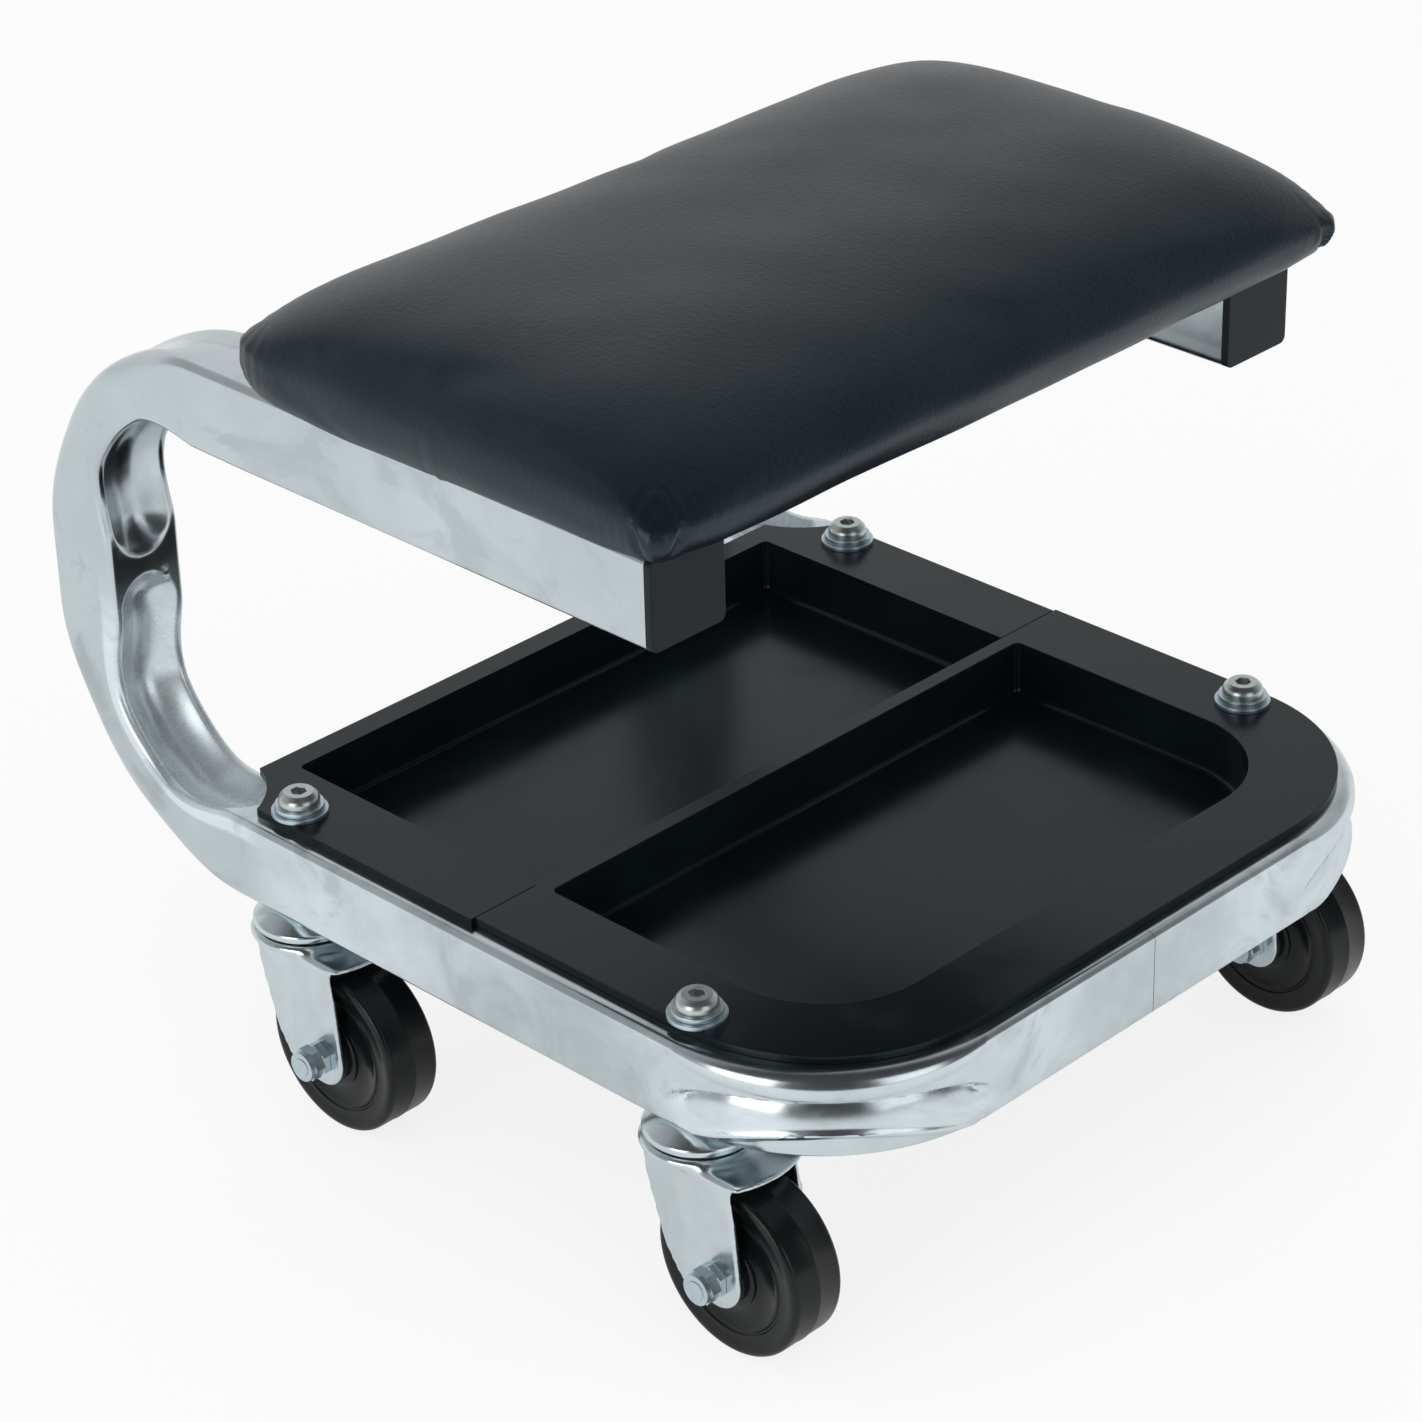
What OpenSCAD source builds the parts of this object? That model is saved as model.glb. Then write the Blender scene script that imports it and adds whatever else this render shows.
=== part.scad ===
// A wheeled creeper seat: a C shaped tube frame with two trays below and a padded seat on top.
// Millimetres, +Z up, the front rail towards -Y, origin on the floor under the middle of the object.

/* [Frame] */
// Width over the two side tubes
frame_w = 369; // [355:1:385]
// Length from the front rail's face to the back of the bends
frame_l = 446; // [440:1:460]
// Width and height of the square tube
tube = 38; // [36:0.5:40]
// Wall of the tube
tube_wall = 2; // [1.5:0.1:2.4]
// Outer corner radius of the tube
tube_corner = 3.2; // [2.6:0.1:4]
// Height of the side rails' underside above the floor
rail_z = 96.5; // [96:0.5:100]
// Height of the seat arms' top above the floor
arm_top = 338.2; // [330:1:350]
// Centre line radius of the two bends behind the seat
bend_r = 80; // [76:1:84]
// Centre line radius of the front corners
corner_r = 66; // [62:1:70]
// Distance from the front rail's face back to the arms' ends
arm_setback = 91; // [80:1:110]
// Gap between the two tubes at the butt seam in the front rail
butt_gap = 0.3; // [0.2:0.1:0.6]
// Length of the sleeve inside the butt seam
sleeve_l = 80; // [60:1:100]
// Thickness of the head of an arm's end plug
plug_head = 3.5; // [2:0.5:6]
// Length of an arm's end plug inside the tube
plug_l = 28; // [15:1:34]

/* [Crushed bends] */
// Radius to which the tube's edges open round the outside of a bend
bend_corner = 11; // [8:0.5:13]
// Depth to which the lips of a bend's inner wall are pushed in
lip_crush = 10; // [8:0.5:12]
// Further depth of the trough between the lips
trough_crush = 7; // [4:0.5:8]
// Depth of the groove in a front corner's outer wall
corner_groove = 4.5; // [3:0.5:6]
// Drop of the ridge above the groove
ridge_drop = 10; // [6:0.5:12]
// Outward spread of the ridge
ridge_out = 1.5; // [1:0.5:3]
// Outward swell of the lobe below the groove
lobe_out = 1.5; // [0.5:0.5:3]
// How far a front corner's lower edge is drawn in
lobe_toe = 2; // [0:0.5:4]

/* [Trays] */
// Thickness of the tray flanges
flange_t = 3.5; // [2.5:0.1:5]
// Distance of the flanges' edges inside the tubes' outer faces
flange_inset = 7.5; // [5:0.5:10]
// Wall of the tray pockets
tray_wall = 2.5; // [1.8:0.1:3]
// Clearance between a tray pocket and the rails beside it
tray_gap = 2; // [1:0.1:3]
// Depth of the pockets below the flanges' top
pocket_depth = 25; // [18:1:32]
// Distance of the seam between the trays from the front rail's face
seam_setback = 203.2; // [190:1:215]
// Gap between the two trays at the seam
seam_gap = 0.3; // [0.2:0.1:0.8]
// Width of the front tray's rear flange over the divider
divider_w = 7.5; // [7:0.5:10]
// Width of the rear tray's rim behind its pocket
rear_rim = 11.5; // [9:0.5:16]
// Reach of the rear tray past the start of the bends
rear_reach = 11.2; // [6:0.2:13]
// How much rounder the front pocket's corners are than the rails beside them
corner_ease = 3; // [0:0.5:6]
// Corner radius of the pockets at the other corners
pocket_small_r = 4; // [3:0.5:8]

/* [Seat] */
// Width of the cushion at its widest level
seat_w = 400; // [390:1:410]
// Length of the cushion at its widest level
seat_l = 247; // [240:1:255]
// Distance from the front rail's face back to the cushion's front
seat_setback = 70; // [65:1:80]
// Height of the widest level above the cushion's underside
seat_belt = 13.5; // [12:0.5:16]
// Height of the crown above the widest level
seat_crown = 36; // [25:1:45]
// How far the sides and the front draw in from the widest level to the underside
seat_draw_in = 10.5; // [6:0.5:12]
// Thickness of the vinyl cover
cover_t = 1.2; // [0.8:0.1:1.6]
// Width of the cover's hem turned under the board
hem_w = 12; // [10:1:13]
// Thickness of the seat board
board_t = 9; // [8:1:12]
// Distance of the arms' centre lines inside the cushion's sides
arm_inset = 34.5; // [34:0.5:36]
// Distance of the front seat bolts from the arms' front ends
bolt_setback = 42; // [38:1:60]
// Distance of the rear seat bolts from the cushion's rear, or from the bends where these come first
rear_bolt_setback = 46.5; // [30:0.5:90]

/* [Casters] */
// Wheel diameter
wheel_d = 75; // [72:0.5:76]
// Wheel width over the tread
wheel_w = 26; // [22:0.5:28]
// Distance from the swivel axis back to the axle
trail = 25; // [22:0.5:27]
// Width over the fork's legs
fork_w = 39; // [38:0.5:42]
// Thickness of the fork's plate
fork_t = 2.5; // [2:0.1:3]
// Radius of the fork's round crown
crown_r = 24.7; // [24:0.1:27]
// Diameter of the raceway cap
cap_d = 46; // [44:0.5:47]
// Height of the raceway cap
cap_h = 9.2; // [8.6:0.1:9.8]
// Distance of the front screws from the front rail's face
screw_setback = 88.2; // [86:1:95]
// Distance of the rear screws from the start of the bends
rear_screw_setback = 29.1; // [24:0.1:50]
// Distance of the screws outside the rails' centre lines
screw_outset = 1; // [0:0.1:1.5]

/* [Fasteners] */
// Thread diameter of the tray screws
screw_d = 10; // [9.5:0.1:10.4]
// Head diameter of the tray screws
screw_head_d = 17.5; // [16:0.5:19]
// Head height of the tray screws
screw_head_h = 5.5; // [4.5:0.1:6.5]
// Socket width across flats of the tray screws
socket_af = 6; // [5:0.5:7]
// Length of the tray screws below the head
screw_l = 58; // [56:0.5:59]
// Outer diameter of the lock washers
lock_washer_d = 21; // [18:0.5:22]
// Thickness of the lock washers
lock_washer_t = 2.5; // [1.5:0.1:3]
// Outer diameter of the flat washers
flat_washer_d = 24; // [22:0.5:25]
// Thickness of the flat washers
flat_washer_t = 2; // [1.5:0.1:3]
// Diameter of the axle bolts
axle_d = 8; // [7:0.1:8.4]
// Width across flats of the axle bolts and nuts
axle_af = 13; // [12:0.5:14]
// Diameter of the seat bolts
bolt_d = 6; // [5:0.1:6.4]
// Width across flats of the seat bolts
bolt_af = 10; // [9:0.5:11]

/* [Hidden] */
$fn = 64;

// Overrun of cuts past the faces that they open
over = 1;
// Clearance of screws and bolts in plain holes, across the diameter
hole_play = 0.6;
// Clearance between pieces that lie close together
touch = 0.3;
// Radial play of the running fits
run_play = 0.06;
// Radial play of threads
thread_play = 0.05;

// Places of the frame
front_y = -frame_l / 2;
back_y = frame_l / 2;
half_tube = tube / 2;
rail_x = frame_w / 2 - half_tube;
arm_x = seat_w / 2 - arm_inset;
rail_top = rail_z + tube;
rail_mid_z = rail_z + half_tube;
arm_mid_z = arm_top - half_tube;
arm_z = arm_top - tube;
arm_front_y = front_y + arm_setback;
link_y = back_y - half_tube;
bend_y = link_y - bend_r;
upper_bend_z = arm_mid_z - bend_r;
lower_bend_z = rail_mid_z + bend_r;
rail_front_y = front_y + half_tube;
corner_x = rail_x - corner_r;
corner_y = rail_front_y + corner_r;
bend_length = bend_r * PI / 2;
c_length = 2 * bend_length + upper_bend_z - lower_bend_z;

// Steps round a bend, and the powers that set how soon the crushing starts in it
bend_steps = 10;
crush_start_power = 0.8;
corner_start_power = 0.6;
// Places of the points along each wall of the tube, and where a wall's full crushing begins
WALL_SHARES = [-0.72, -0.4, 0, 0.4, 0.72];
full_crush_share = 0.8;
// Where a front corner's fold starts across the tube, and how soon it deepens
fold_start_share = 0.35;
fold_power = 1.8;
// Place and half width of the groove down a front corner's outer wall
groove_share = 0.14;
groove_half_share = 0.2;

// Joiner sleeve and its screws
bore_w = tube - 2 * tube_wall;
sleeve_w = bore_w - 2 * touch;
sleeve_wall = 2;
joiner_d = 5;
joiner_head_d = 9;
joiner_head_h = 2.6;
joiner_l = 8;
joiner_x = sleeve_l / 4;

// Places of the screws that hold the trays and the casters
screw_x = rail_x + screw_outset;
screw_front_y = front_y + screw_setback;
screw_rear_y = bend_y - rear_screw_setback;
SCREW_PLACES = [
    [-screw_x, screw_front_y], [screw_x, screw_front_y],
    [-screw_x, screw_rear_y], [screw_x, screw_rear_y]
];
screw_hole_d = screw_d + hole_play;

// Places of the trays
flange_top = rail_top + flange_t;
seam_y = front_y + seam_setback;
flange_x = frame_w / 2 - flange_inset;
flange_front_y = front_y + flange_inset;
flange_corner_r = corner_r + half_tube - flange_inset;
flange_back_y = bend_y + rear_reach;
tub_x = frame_w / 2 - tube - tray_gap;
tub_front_y = front_y + tube + tray_gap;
tub_corner_r = corner_r - half_tube + corner_ease;
tub_rear_y = seam_y - seam_gap - divider_w + tray_wall;
tub_bottom = flange_top - pocket_depth - tray_wall;
rear_tub_y = flange_back_y - rear_rim + tray_wall;
// The front tray is pushed over until it nearly meets the right rail
front_tray_shift = tray_gap - touch;
// Radius of the cuts in the rear tray's corners, and their centres past the tube's face and the bend
bend_cut_r = 43;
bend_cut_out = 10;
bend_cut_back = 25.3;

// Heights of the stack on a tray flange
lock_washer_z = flange_top + flat_washer_t;
screw_seat_z = lock_washer_z + lock_washer_t;
screw_top_d = screw_head_d * 0.8;
screw_rim_h = screw_head_h * 0.18;
screw_dome_start = 20;
screw_dome_end = 62;
socket_depth = screw_head_h * 0.62;
washer_split = lock_washer_t * 0.6;

// Places of the seat
seat_z = arm_top + touch;
seat_front_y = front_y + seat_setback;
seat_rear_y = seat_front_y + seat_l;
seat_mid_y = seat_front_y + seat_l / 2;
belt_z = seat_z + seat_belt;
board_z = seat_z + cover_t;
board_top = board_z + board_t;
board_edge_gap = 0.5;
board_corner_r = 27;
// Share of the drawing in that the cushion's rear takes
rear_draw_share = 0.4;
seat_low_x = seat_w / 2 - seat_draw_in;
seat_low_front_y = seat_front_y + seat_draw_in;
seat_low_rear_y = seat_rear_y - seat_draw_in * rear_draw_share;
cover_edge = cover_t + board_edge_gap;

// Shape of the cushion: powers of its curves, and shares of its half sizes and heights
crown_side_power = 6.6;
crown_side_edge_power = 0.37;
crown_front_power = 2.75;
crown_rear_power = 3.4;
crown_front_edge_power = 0.58;
plan_power = 36;
PLAN_SHARES = [-1, -0.95, -0.85, -0.66, -0.4, -0.14, 0.14, 0.4, 0.66, 0.85, 0.95];
TOP_SHARES = [0.995, 0.98, 0.95, 0.9, 0.82, 0.7, 0.52, 0.28];
DRAW_IN_SHARES = [[0, 1], [0.2, 0.5], [0.5, 0.15], [1, 0]];
plan_points = 4 * len(PLAN_SHARES);

// Seat bolts, their washers and the tee nuts
bolt_hole_d = bolt_d + hole_play;
bolt_head_h = 4;
bolt_washer_d = 18;
bolt_washer_t = 1.6;
tee_d = 7.8;
tee_flange_d = 19;
tee_flange_t = 1.2;
BOLT_YS = [arm_front_y + bolt_setback, min(bend_y, seat_rear_y) - rear_bolt_setback];
BOLT_PLACES = [for (sx = [-1, 1]) for (y = BOLT_YS) [sx * arm_x, y]];

// Staples in the hem at the cushion's front and rear
staple_w = 10;
staple_wire = 0.8;
staple_l = 6;
staple_count = 9;
staple_pitch = 28;
STAPLE_YS = [seat_low_front_y + hem_w / 2, seat_low_rear_y - hem_w / 2];

// Raceway cap: sheet thickness, radius of the flat top, fall of the slope to the rim
cap_r = cap_d / 2;
cap_t = 2;
cap_flat_r = 14;
cap_slope_h = 6;
cap_slope = cap_slope_h / (cap_r - cap_flat_r);
cap_tilt = atan(cap_slope);
cap_bottom = rail_z - cap_h;
// Depth of the sheet's inner face below the rail, at a radius of r
function cap_inner_depth(r) = cap_t / cos(cap_tilt) + (r - cap_flat_r) * cap_slope;

// Balls under the cap
ball_r = 3;
ball_ring_r = 16;
ball_count = 12;
groove_play = 0.05;
ball_z = rail_z - cap_inner_depth(ball_ring_r) - (ball_r + touch) / cos(cap_tilt);

// Kingpin
kingpin_r = 7;
kingpin_head_r = 12;
kingpin_head_h = 3;

// Fork: the crown's gap under the cap, its thickness and the plate's height
crown_gap = 0.6;
crown_t = 3.4;
crown_rise = 2.7;
crown_top = cap_bottom - crown_gap;
crown_bottom = crown_top - crown_t;
plate_top = crown_top - crown_rise;
plate_z = plate_top - fork_t;
half_fork = fork_w / 2;
leg_x = half_fork - fork_t;
// Radius of a leg's lower end round the axle, and the leg's outline as shares of it
leg_round_r = 13;
LEG_REAR_SHARES = [[-2.31, 0.12], [-1.67, -0.5], [-1.12, -0.88]];
leg_front_angle = 4;
leg_bottom_angle = 262;
leg_top_inset = 4.3;
// Place of the crease, and the leg's rear edge above it
crease_s = 9;
leg_back_s = -20.5;
leg_back_drop = 8;
// Clearance of the turned in leg beside the wheel, and where the wheel's rim leaves it, as a share
leg_clear = 0.5;
rim_reach_share = 0.88;
toe_in = atan((leg_x - wheel_w / 2 - leg_clear) / (crease_s - trail + wheel_d / 2 * rim_reach_share));
// Front lip of the plate: its reach past the legs at the sides and in the middle
lip_side = 12;
lip_bulge = 4.7;
lip_side_s = trail + lip_side;
lip_r = (pow(half_fork, 2) + pow(lip_bulge, 2)) / (2 * lip_bulge);

// Axle, its sleeve and nuts
axle_z = wheel_d / 2;
axle_r = axle_d / 2;
axle_sleeve_r = 6;
axle_head_h = 5.3;
jam_nut_h = 3.5;
lock_nut_h = 4.5;
collar_h = 2.5;
nuts_h = jam_nut_h + lock_nut_h + collar_h;
axle_end = 0.4;

// Wheel
wheel_r = wheel_d / 2;
hub_gap = 0.4;
hub_x = leg_x - hub_gap;
hub_r = 12.5;
hub_step_r = 15.5;
hub_step_h = 1.6;
tread_edge_r = 2.5;
side_recess = 0.6;
side_groove_share = 0.72;
side_groove_w = 2;
side_groove_depth = 0.8;

// Points of an arc round c with radius r, from angle a0 to a1
function arc(c, r, a0, a1, steps) =
    [for (i = [0 : steps]) let (a = a0 + (a1 - a0) * i / steps) c + r * [cos(a), sin(a)]];

// Sharper or softer rise and fall over a bend, from 0 to 1 and back
function bend_share(angle, power) = pow(max(0, sin(2 * angle)), power);
function limit(x, low, high) = min(high, max(low, x));

// Section of the tube: half side h and corner radius r, a and b along the section's two axes
function tube_section(h, r) = concat(
    [for (s = WALL_SHARES) [-h, s * h]],
    arc([-h + r, h - r], r, 180, 90, 2),
    [for (s = WALL_SHARES) [s * h, h]],
    arc([h - r, h - r], r, 90, 0, 2),
    arc([h - r, -h + r], r, 0, -90, 2),
    arc([-h + r, -h + r], r, -90, -180, 2)
);
section_points = 2 * len(WALL_SHARES) + 12;

// A bend's inner wall is pushed outwards, most in its middle
function crushed(q, k) =
    let (u = q[0] / half_tube, v = limit(q[1] / half_tube, -1, 1))
    let (near = limit(-u / full_crush_share, 0, 1))
    [q[0] + k * near * (lip_crush + trough_crush * pow(cos(90 * v), 2)), q[1]];

// A front corner's outer wall folds: its upper edge sinks to a ridge, and a groove parts this from a lobe
function folded(q, k) =
    let (down = limit(q[0] / half_tube + 1, 0, 2) / 2, v = q[1] / half_tube)
    let (near = pow(limit((v - fold_start_share) / (1 - fold_start_share), 0, 1), fold_power))
    let (groove = max(0, 1 - abs(down - groove_share) / groove_half_share))
    let (spread = ridge_out * (1 - down) + lobe_out * sin(180 * down) - corner_groove * groove
        - lobe_toe * down)
    [q[0] + k * near * ridge_drop * (1 - down), q[1] + k * near * spread];

// The outer edges of a section with half side h, opened to a larger radius in the bends
function opened(q, k, h) =
    let (r = tube_corner + k * (bend_corner - tube_corner) - half_tube + h, c = h - r)
    let (reach = [q[0] - c, abs(q[1]) - c])
    reach[0] <= 0 || reach[1] <= 0 ? q
        : [c + reach[0] * r / norm(reach), (c + reach[1] * r / norm(reach)) * sign(q[1])];

// The arms stand apart by the seat's width and the rails by the frame's, so the C leans where these
// differ: its distance from the middle, at a length round the bends and the link from the rail
function c_x(length) = rail_x + (arm_x - rail_x) * pow(sin(90 * length / c_length), 2);

// Rings along the left tube: each is [centre, first axis, second axis, crush, fold]
function bend_angle(i) = 90 * i / bend_steps;
tube_rings = concat(
    [[[-arm_x, arm_front_y, arm_mid_z], [0, 0, 1], [-1, 0, 0], 0, 0]],
    [for (i = [0 : bend_steps]) let (a = bend_angle(i), n = [0, sin(a), cos(a)])
        let (x = c_x(c_length - bend_length * i / bend_steps))
        [[-x, bend_y, upper_bend_z] + bend_r * n, n, [-1, 0, 0], bend_share(a, crush_start_power), 0]],
    [for (i = [0 : bend_steps]) let (a = bend_angle(i), n = [0, cos(a), -sin(a)])
        let (x = c_x(bend_length * (bend_steps - i) / bend_steps))
        [[-x, bend_y, lower_bend_z] + bend_r * n, n, [-1, 0, 0], bend_share(a, crush_start_power), 0]],
    [for (i = [0 : bend_steps]) let (a = bend_angle(i), b = [-cos(a), -sin(a), 0])
        [[-corner_x, corner_y, rail_mid_z] + corner_r * b, [0, 0, -1], b,
            0, bend_share(a, corner_start_power)]],
    [[[-butt_gap / 2, rail_front_y, rail_mid_z], [0, 0, -1], [0, -1, 0], 0, 0]]
);

// Points of one section, with half side h and corner radius r, set into a ring
function ring_points(ring, h, r) = [
    for (q = tube_section(h, r))
        let (c = folded(crushed(opened(q, ring[3], h), ring[3]), ring[4]))
            ring[0] + c[0] * ring[1] + c[1] * ring[2]
];

// Two triangles of a band between the rows of points that start at p and q
function band(p, q, n, i) = let (j = (i + 1) % n) [[p + i, q + i, q + j], [p + i, q + j, p + j]];

module swept_tube() {
    rings = len(tube_rings);
    n = section_points;
    inside = rings * n;
    points = concat(
        [for (ring = tube_rings) each ring_points(ring, half_tube, tube_corner)],
        [for (ring = tube_rings) each ring_points(ring, half_tube - tube_wall, tube_corner - tube_wall)]
    );
    outer_faces = [for (k = [0 : rings - 2]) for (i = [0 : n - 1]) each band(k * n, (k + 1) * n, n, i)];
    inner_faces = [for (f = outer_faces) [f[2] + inside, f[1] + inside, f[0] + inside]];
    first_end = [for (i = [0 : n - 1]) each band(inside, 0, n, i)];
    last_end = [for (i = [0 : n - 1]) each band((rings - 1) * n, inside + (rings - 1) * n, n, i)];
    polyhedron(points, concat(outer_faces, inner_faces, first_end, last_end));
}

// A prism from z upwards over a plan with rounded corners, front radius rf and rear radius rr
module rounded_plan(x, front, rear, rf, rr) {
    for (sx = [-1, 1]) {
        translate([sx * (x - rf), front + rf]) circle(r = rf);
        translate([sx * (x - rr), rear - rr]) circle(r = rr);
    }
    polygon([
        [-x, front + rf], [-x + rf, front], [x - rf, front], [x, front + rf],
        [x, rear - rr], [x - rr, rear], [-x + rr, rear], [-x, rear - rr]
    ]);
}

// An upright cylinder from z up to top at a place
module post(place, z, top, d) {
    translate([place[0], place[1], z]) cylinder(d = d, h = top - z);
}

// A hexagon prism, w across its flats
module hexagon(w, h) {
    cylinder(d = w / cos(30), h = h, $fn = 6);
}

// Holes through a left tube's rail and arm, and from below into its half of the front rail
module tube_holes() {
    for (y = [screw_front_y, screw_rear_y])
        post([-screw_x, y], rail_z - over, rail_top + over, screw_hole_d);
    for (y = BOLT_YS)
        post([-arm_x, y], arm_z - over, arm_top + over, bolt_hole_d);
    post([-joiner_x, rail_front_y], rail_z - over, rail_z + tube_wall + over, joiner_d + hole_play);
}

module frame_tube() {
    color("silver") difference() {
        swept_tube();
        tube_holes();
    }
}
module frame_tube_left() { frame_tube(); }
module frame_tube_right() { mirror([1, 0, 0]) frame_tube(); }

// A tube wall's square outline, with corners rounded to r
module square_plan(w, r) {
    rounded_plan(w / 2, -w / 2, w / 2, r, r);
}

module joiner_sleeve() {
    color("gray") difference() {
        translate([-sleeve_l / 2, rail_front_y, rail_mid_z]) rotate([0, 90, 0])
            linear_extrude(sleeve_l) difference() {
                square(sleeve_w, center = true);
                square(sleeve_w - 2 * sleeve_wall, center = true);
            }
        for (sx = [-1, 1])
            post([sx * joiner_x, rail_front_y], rail_z, rail_mid_z, joiner_d + 2 * thread_play);
    }
}

module joiner_screws() {
    color("dimgray") for (sx = [-1, 1]) {
        post([sx * joiner_x, rail_front_y], rail_z, rail_z + joiner_l, joiner_d);
        difference() {
            post([sx * joiner_x, rail_front_y], rail_z - joiner_head_h, rail_z, joiner_head_d);
            translate([sx * joiner_x, rail_front_y, rail_z - joiner_head_h - over])
                hexagon(joiner_d / 2, joiner_head_h / 2 + over);
        }
    }
}

// End plug of the left arm: a head as wide as the tube, and a hollow body inside it
module arm_plug() {
    plug_w = bore_w - 2 * touch;
    plug_wall = 2;
    color("black") translate([-arm_x, arm_front_y, arm_mid_z]) rotate([-90, 0, 0]) {
        translate([0, 0, -plug_head]) linear_extrude(plug_head) square_plan(tube, tube_corner);
        linear_extrude(plug_l) difference() {
            square(plug_w, center = true);
            square(plug_w - 2 * plug_wall, center = true);
        }
    }
}
module arm_plug_left() { arm_plug(); }
module arm_plug_right() { mirror([1, 0, 0]) arm_plug(); }

module screw_holes(places, z, top) {
    for (place = places) post(place, z, top, screw_hole_d);
}

// The rear tray's front wall stands below the front tray's rear flange
module rear_tray() {
    color([0.1, 0.1, 0.1]) difference() {
        union() {
            translate([0, 0, rail_top]) linear_extrude(flange_t) difference() {
                translate([-flange_x, seam_y]) square([2 * flange_x, flange_back_y - seam_y]);
                for (sx = [-1, 1])
                    translate([sx * (frame_w / 2 + bend_cut_out), bend_y + bend_cut_back])
                        circle(r = bend_cut_r);
            }
            translate([0, 0, tub_bottom]) linear_extrude(rail_top - tub_bottom)
                rounded_plan(tub_x, seam_y - tray_wall, rear_tub_y, pocket_small_r, pocket_small_r);
        }
        translate([0, 0, tub_bottom + tray_wall]) linear_extrude(pocket_depth + over)
            rounded_plan(tub_x - tray_wall, seam_y, rear_tub_y - tray_wall,
                pocket_small_r - tray_wall / 2, pocket_small_r - tray_wall / 2);
        translate([-tub_x + tray_wall, seam_y - over, rail_top])
            cube([2 * (tub_x - tray_wall), 2 * over + pocket_small_r, flange_t + over]);
        screw_holes([SCREW_PLACES[2], SCREW_PLACES[3]], tub_bottom, flange_top + over);
    }
}

// Plan of the front tray's flange, with its front corners round like the rails
module front_flange_plan() {
    rear = seam_y - seam_gap;
    for (sx = [-1, 1])
        translate([sx * (flange_x - flange_corner_r), flange_front_y + flange_corner_r])
            circle(r = flange_corner_r);
    polygon([
        [-flange_x, flange_front_y + flange_corner_r], [-flange_x + flange_corner_r, flange_front_y],
        [flange_x - flange_corner_r, flange_front_y], [flange_x, flange_front_y + flange_corner_r],
        [flange_x, rear], [-flange_x, rear]
    ]);
}

module front_tray() {
    color([0.1, 0.1, 0.1]) difference() {
        translate([front_tray_shift, 0, 0]) difference() {
            union() {
                translate([0, 0, rail_top]) linear_extrude(flange_t) front_flange_plan();
                translate([0, 0, tub_bottom]) linear_extrude(rail_top - tub_bottom)
                    rounded_plan(tub_x, tub_front_y, tub_rear_y, tub_corner_r, pocket_small_r);
            }
            translate([0, 0, tub_bottom + tray_wall]) linear_extrude(pocket_depth + over)
                rounded_plan(tub_x - tray_wall, tub_front_y + tray_wall, tub_rear_y - tray_wall,
                    tub_corner_r - tray_wall, pocket_small_r - tray_wall / 2);
        }
        screw_holes([SCREW_PLACES[0], SCREW_PLACES[1]], tub_bottom, flange_top + over);
    }
}

module tray_screw() {
    difference() {
        union() {
            rotate_extrude() polygon(concat(
                [[0, 0], [screw_head_d / 2, 0], [screw_head_d / 2, screw_rim_h]],
                arc([screw_top_d / 2 - (screw_head_d - screw_top_d) / 2, screw_rim_h],
                    screw_head_d - screw_top_d, screw_dome_start, screw_dome_end, 5),
                [[screw_top_d / 2 - screw_rim_h, screw_head_h], [0, screw_head_h]]
            ));
            translate([0, 0, -screw_l]) cylinder(d = screw_d, h = screw_l + screw_rim_h);
        }
        translate([0, 0, screw_head_h - socket_depth]) hexagon(socket_af, socket_depth + over);
    }
}

module tray_screws() {
    color("silver") for (place = SCREW_PLACES) translate([place[0], place[1], screw_seat_z]) tray_screw();
}

module tray_lock_washers() {
    color("silver") for (place = SCREW_PLACES) translate([place[0], place[1], lock_washer_z])
        difference() {
            cylinder(d = lock_washer_d, h = lock_washer_t);
            translate([0, 0, -over]) cylinder(d = screw_hole_d, h = lock_washer_t + 2 * over);
            translate([0, -washer_split / 2, -over])
                cube([lock_washer_d, washer_split, lock_washer_t + 2 * over]);
        }
}

module ring(d, hole, h) {
    difference() {
        cylinder(d = d, h = h);
        translate([0, 0, -over]) cylinder(d = hole, h = h + 2 * over);
    }
}

module tray_flat_washers() {
    color("lightsteelblue") for (place = SCREW_PLACES) translate([place[0], place[1], flange_top])
        ring(flat_washer_d, screw_hole_d, flat_washer_t);
}

// Unit outline of the cushion, the same on its four sides
unit_plan = [
    for (side = [0 : 3]) for (t = PLAN_SHARES)
        let (k = pow(1 + pow(abs(t), plan_power), 1 / plan_power), a = 1 / k, b = t / k)
        side == 0 ? [a, b] : side == 1 ? [-b, a] : side == 2 ? [-a, -b] : [b, -a]
];
function crown_share(u, v) =
    pow(max(0, 1 - pow(abs(u), crown_side_power)), crown_side_edge_power)
    * pow(max(0, 1 - pow(abs(v), v < 0 ? crown_front_power : crown_rear_power)), crown_front_edge_power);

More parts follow.
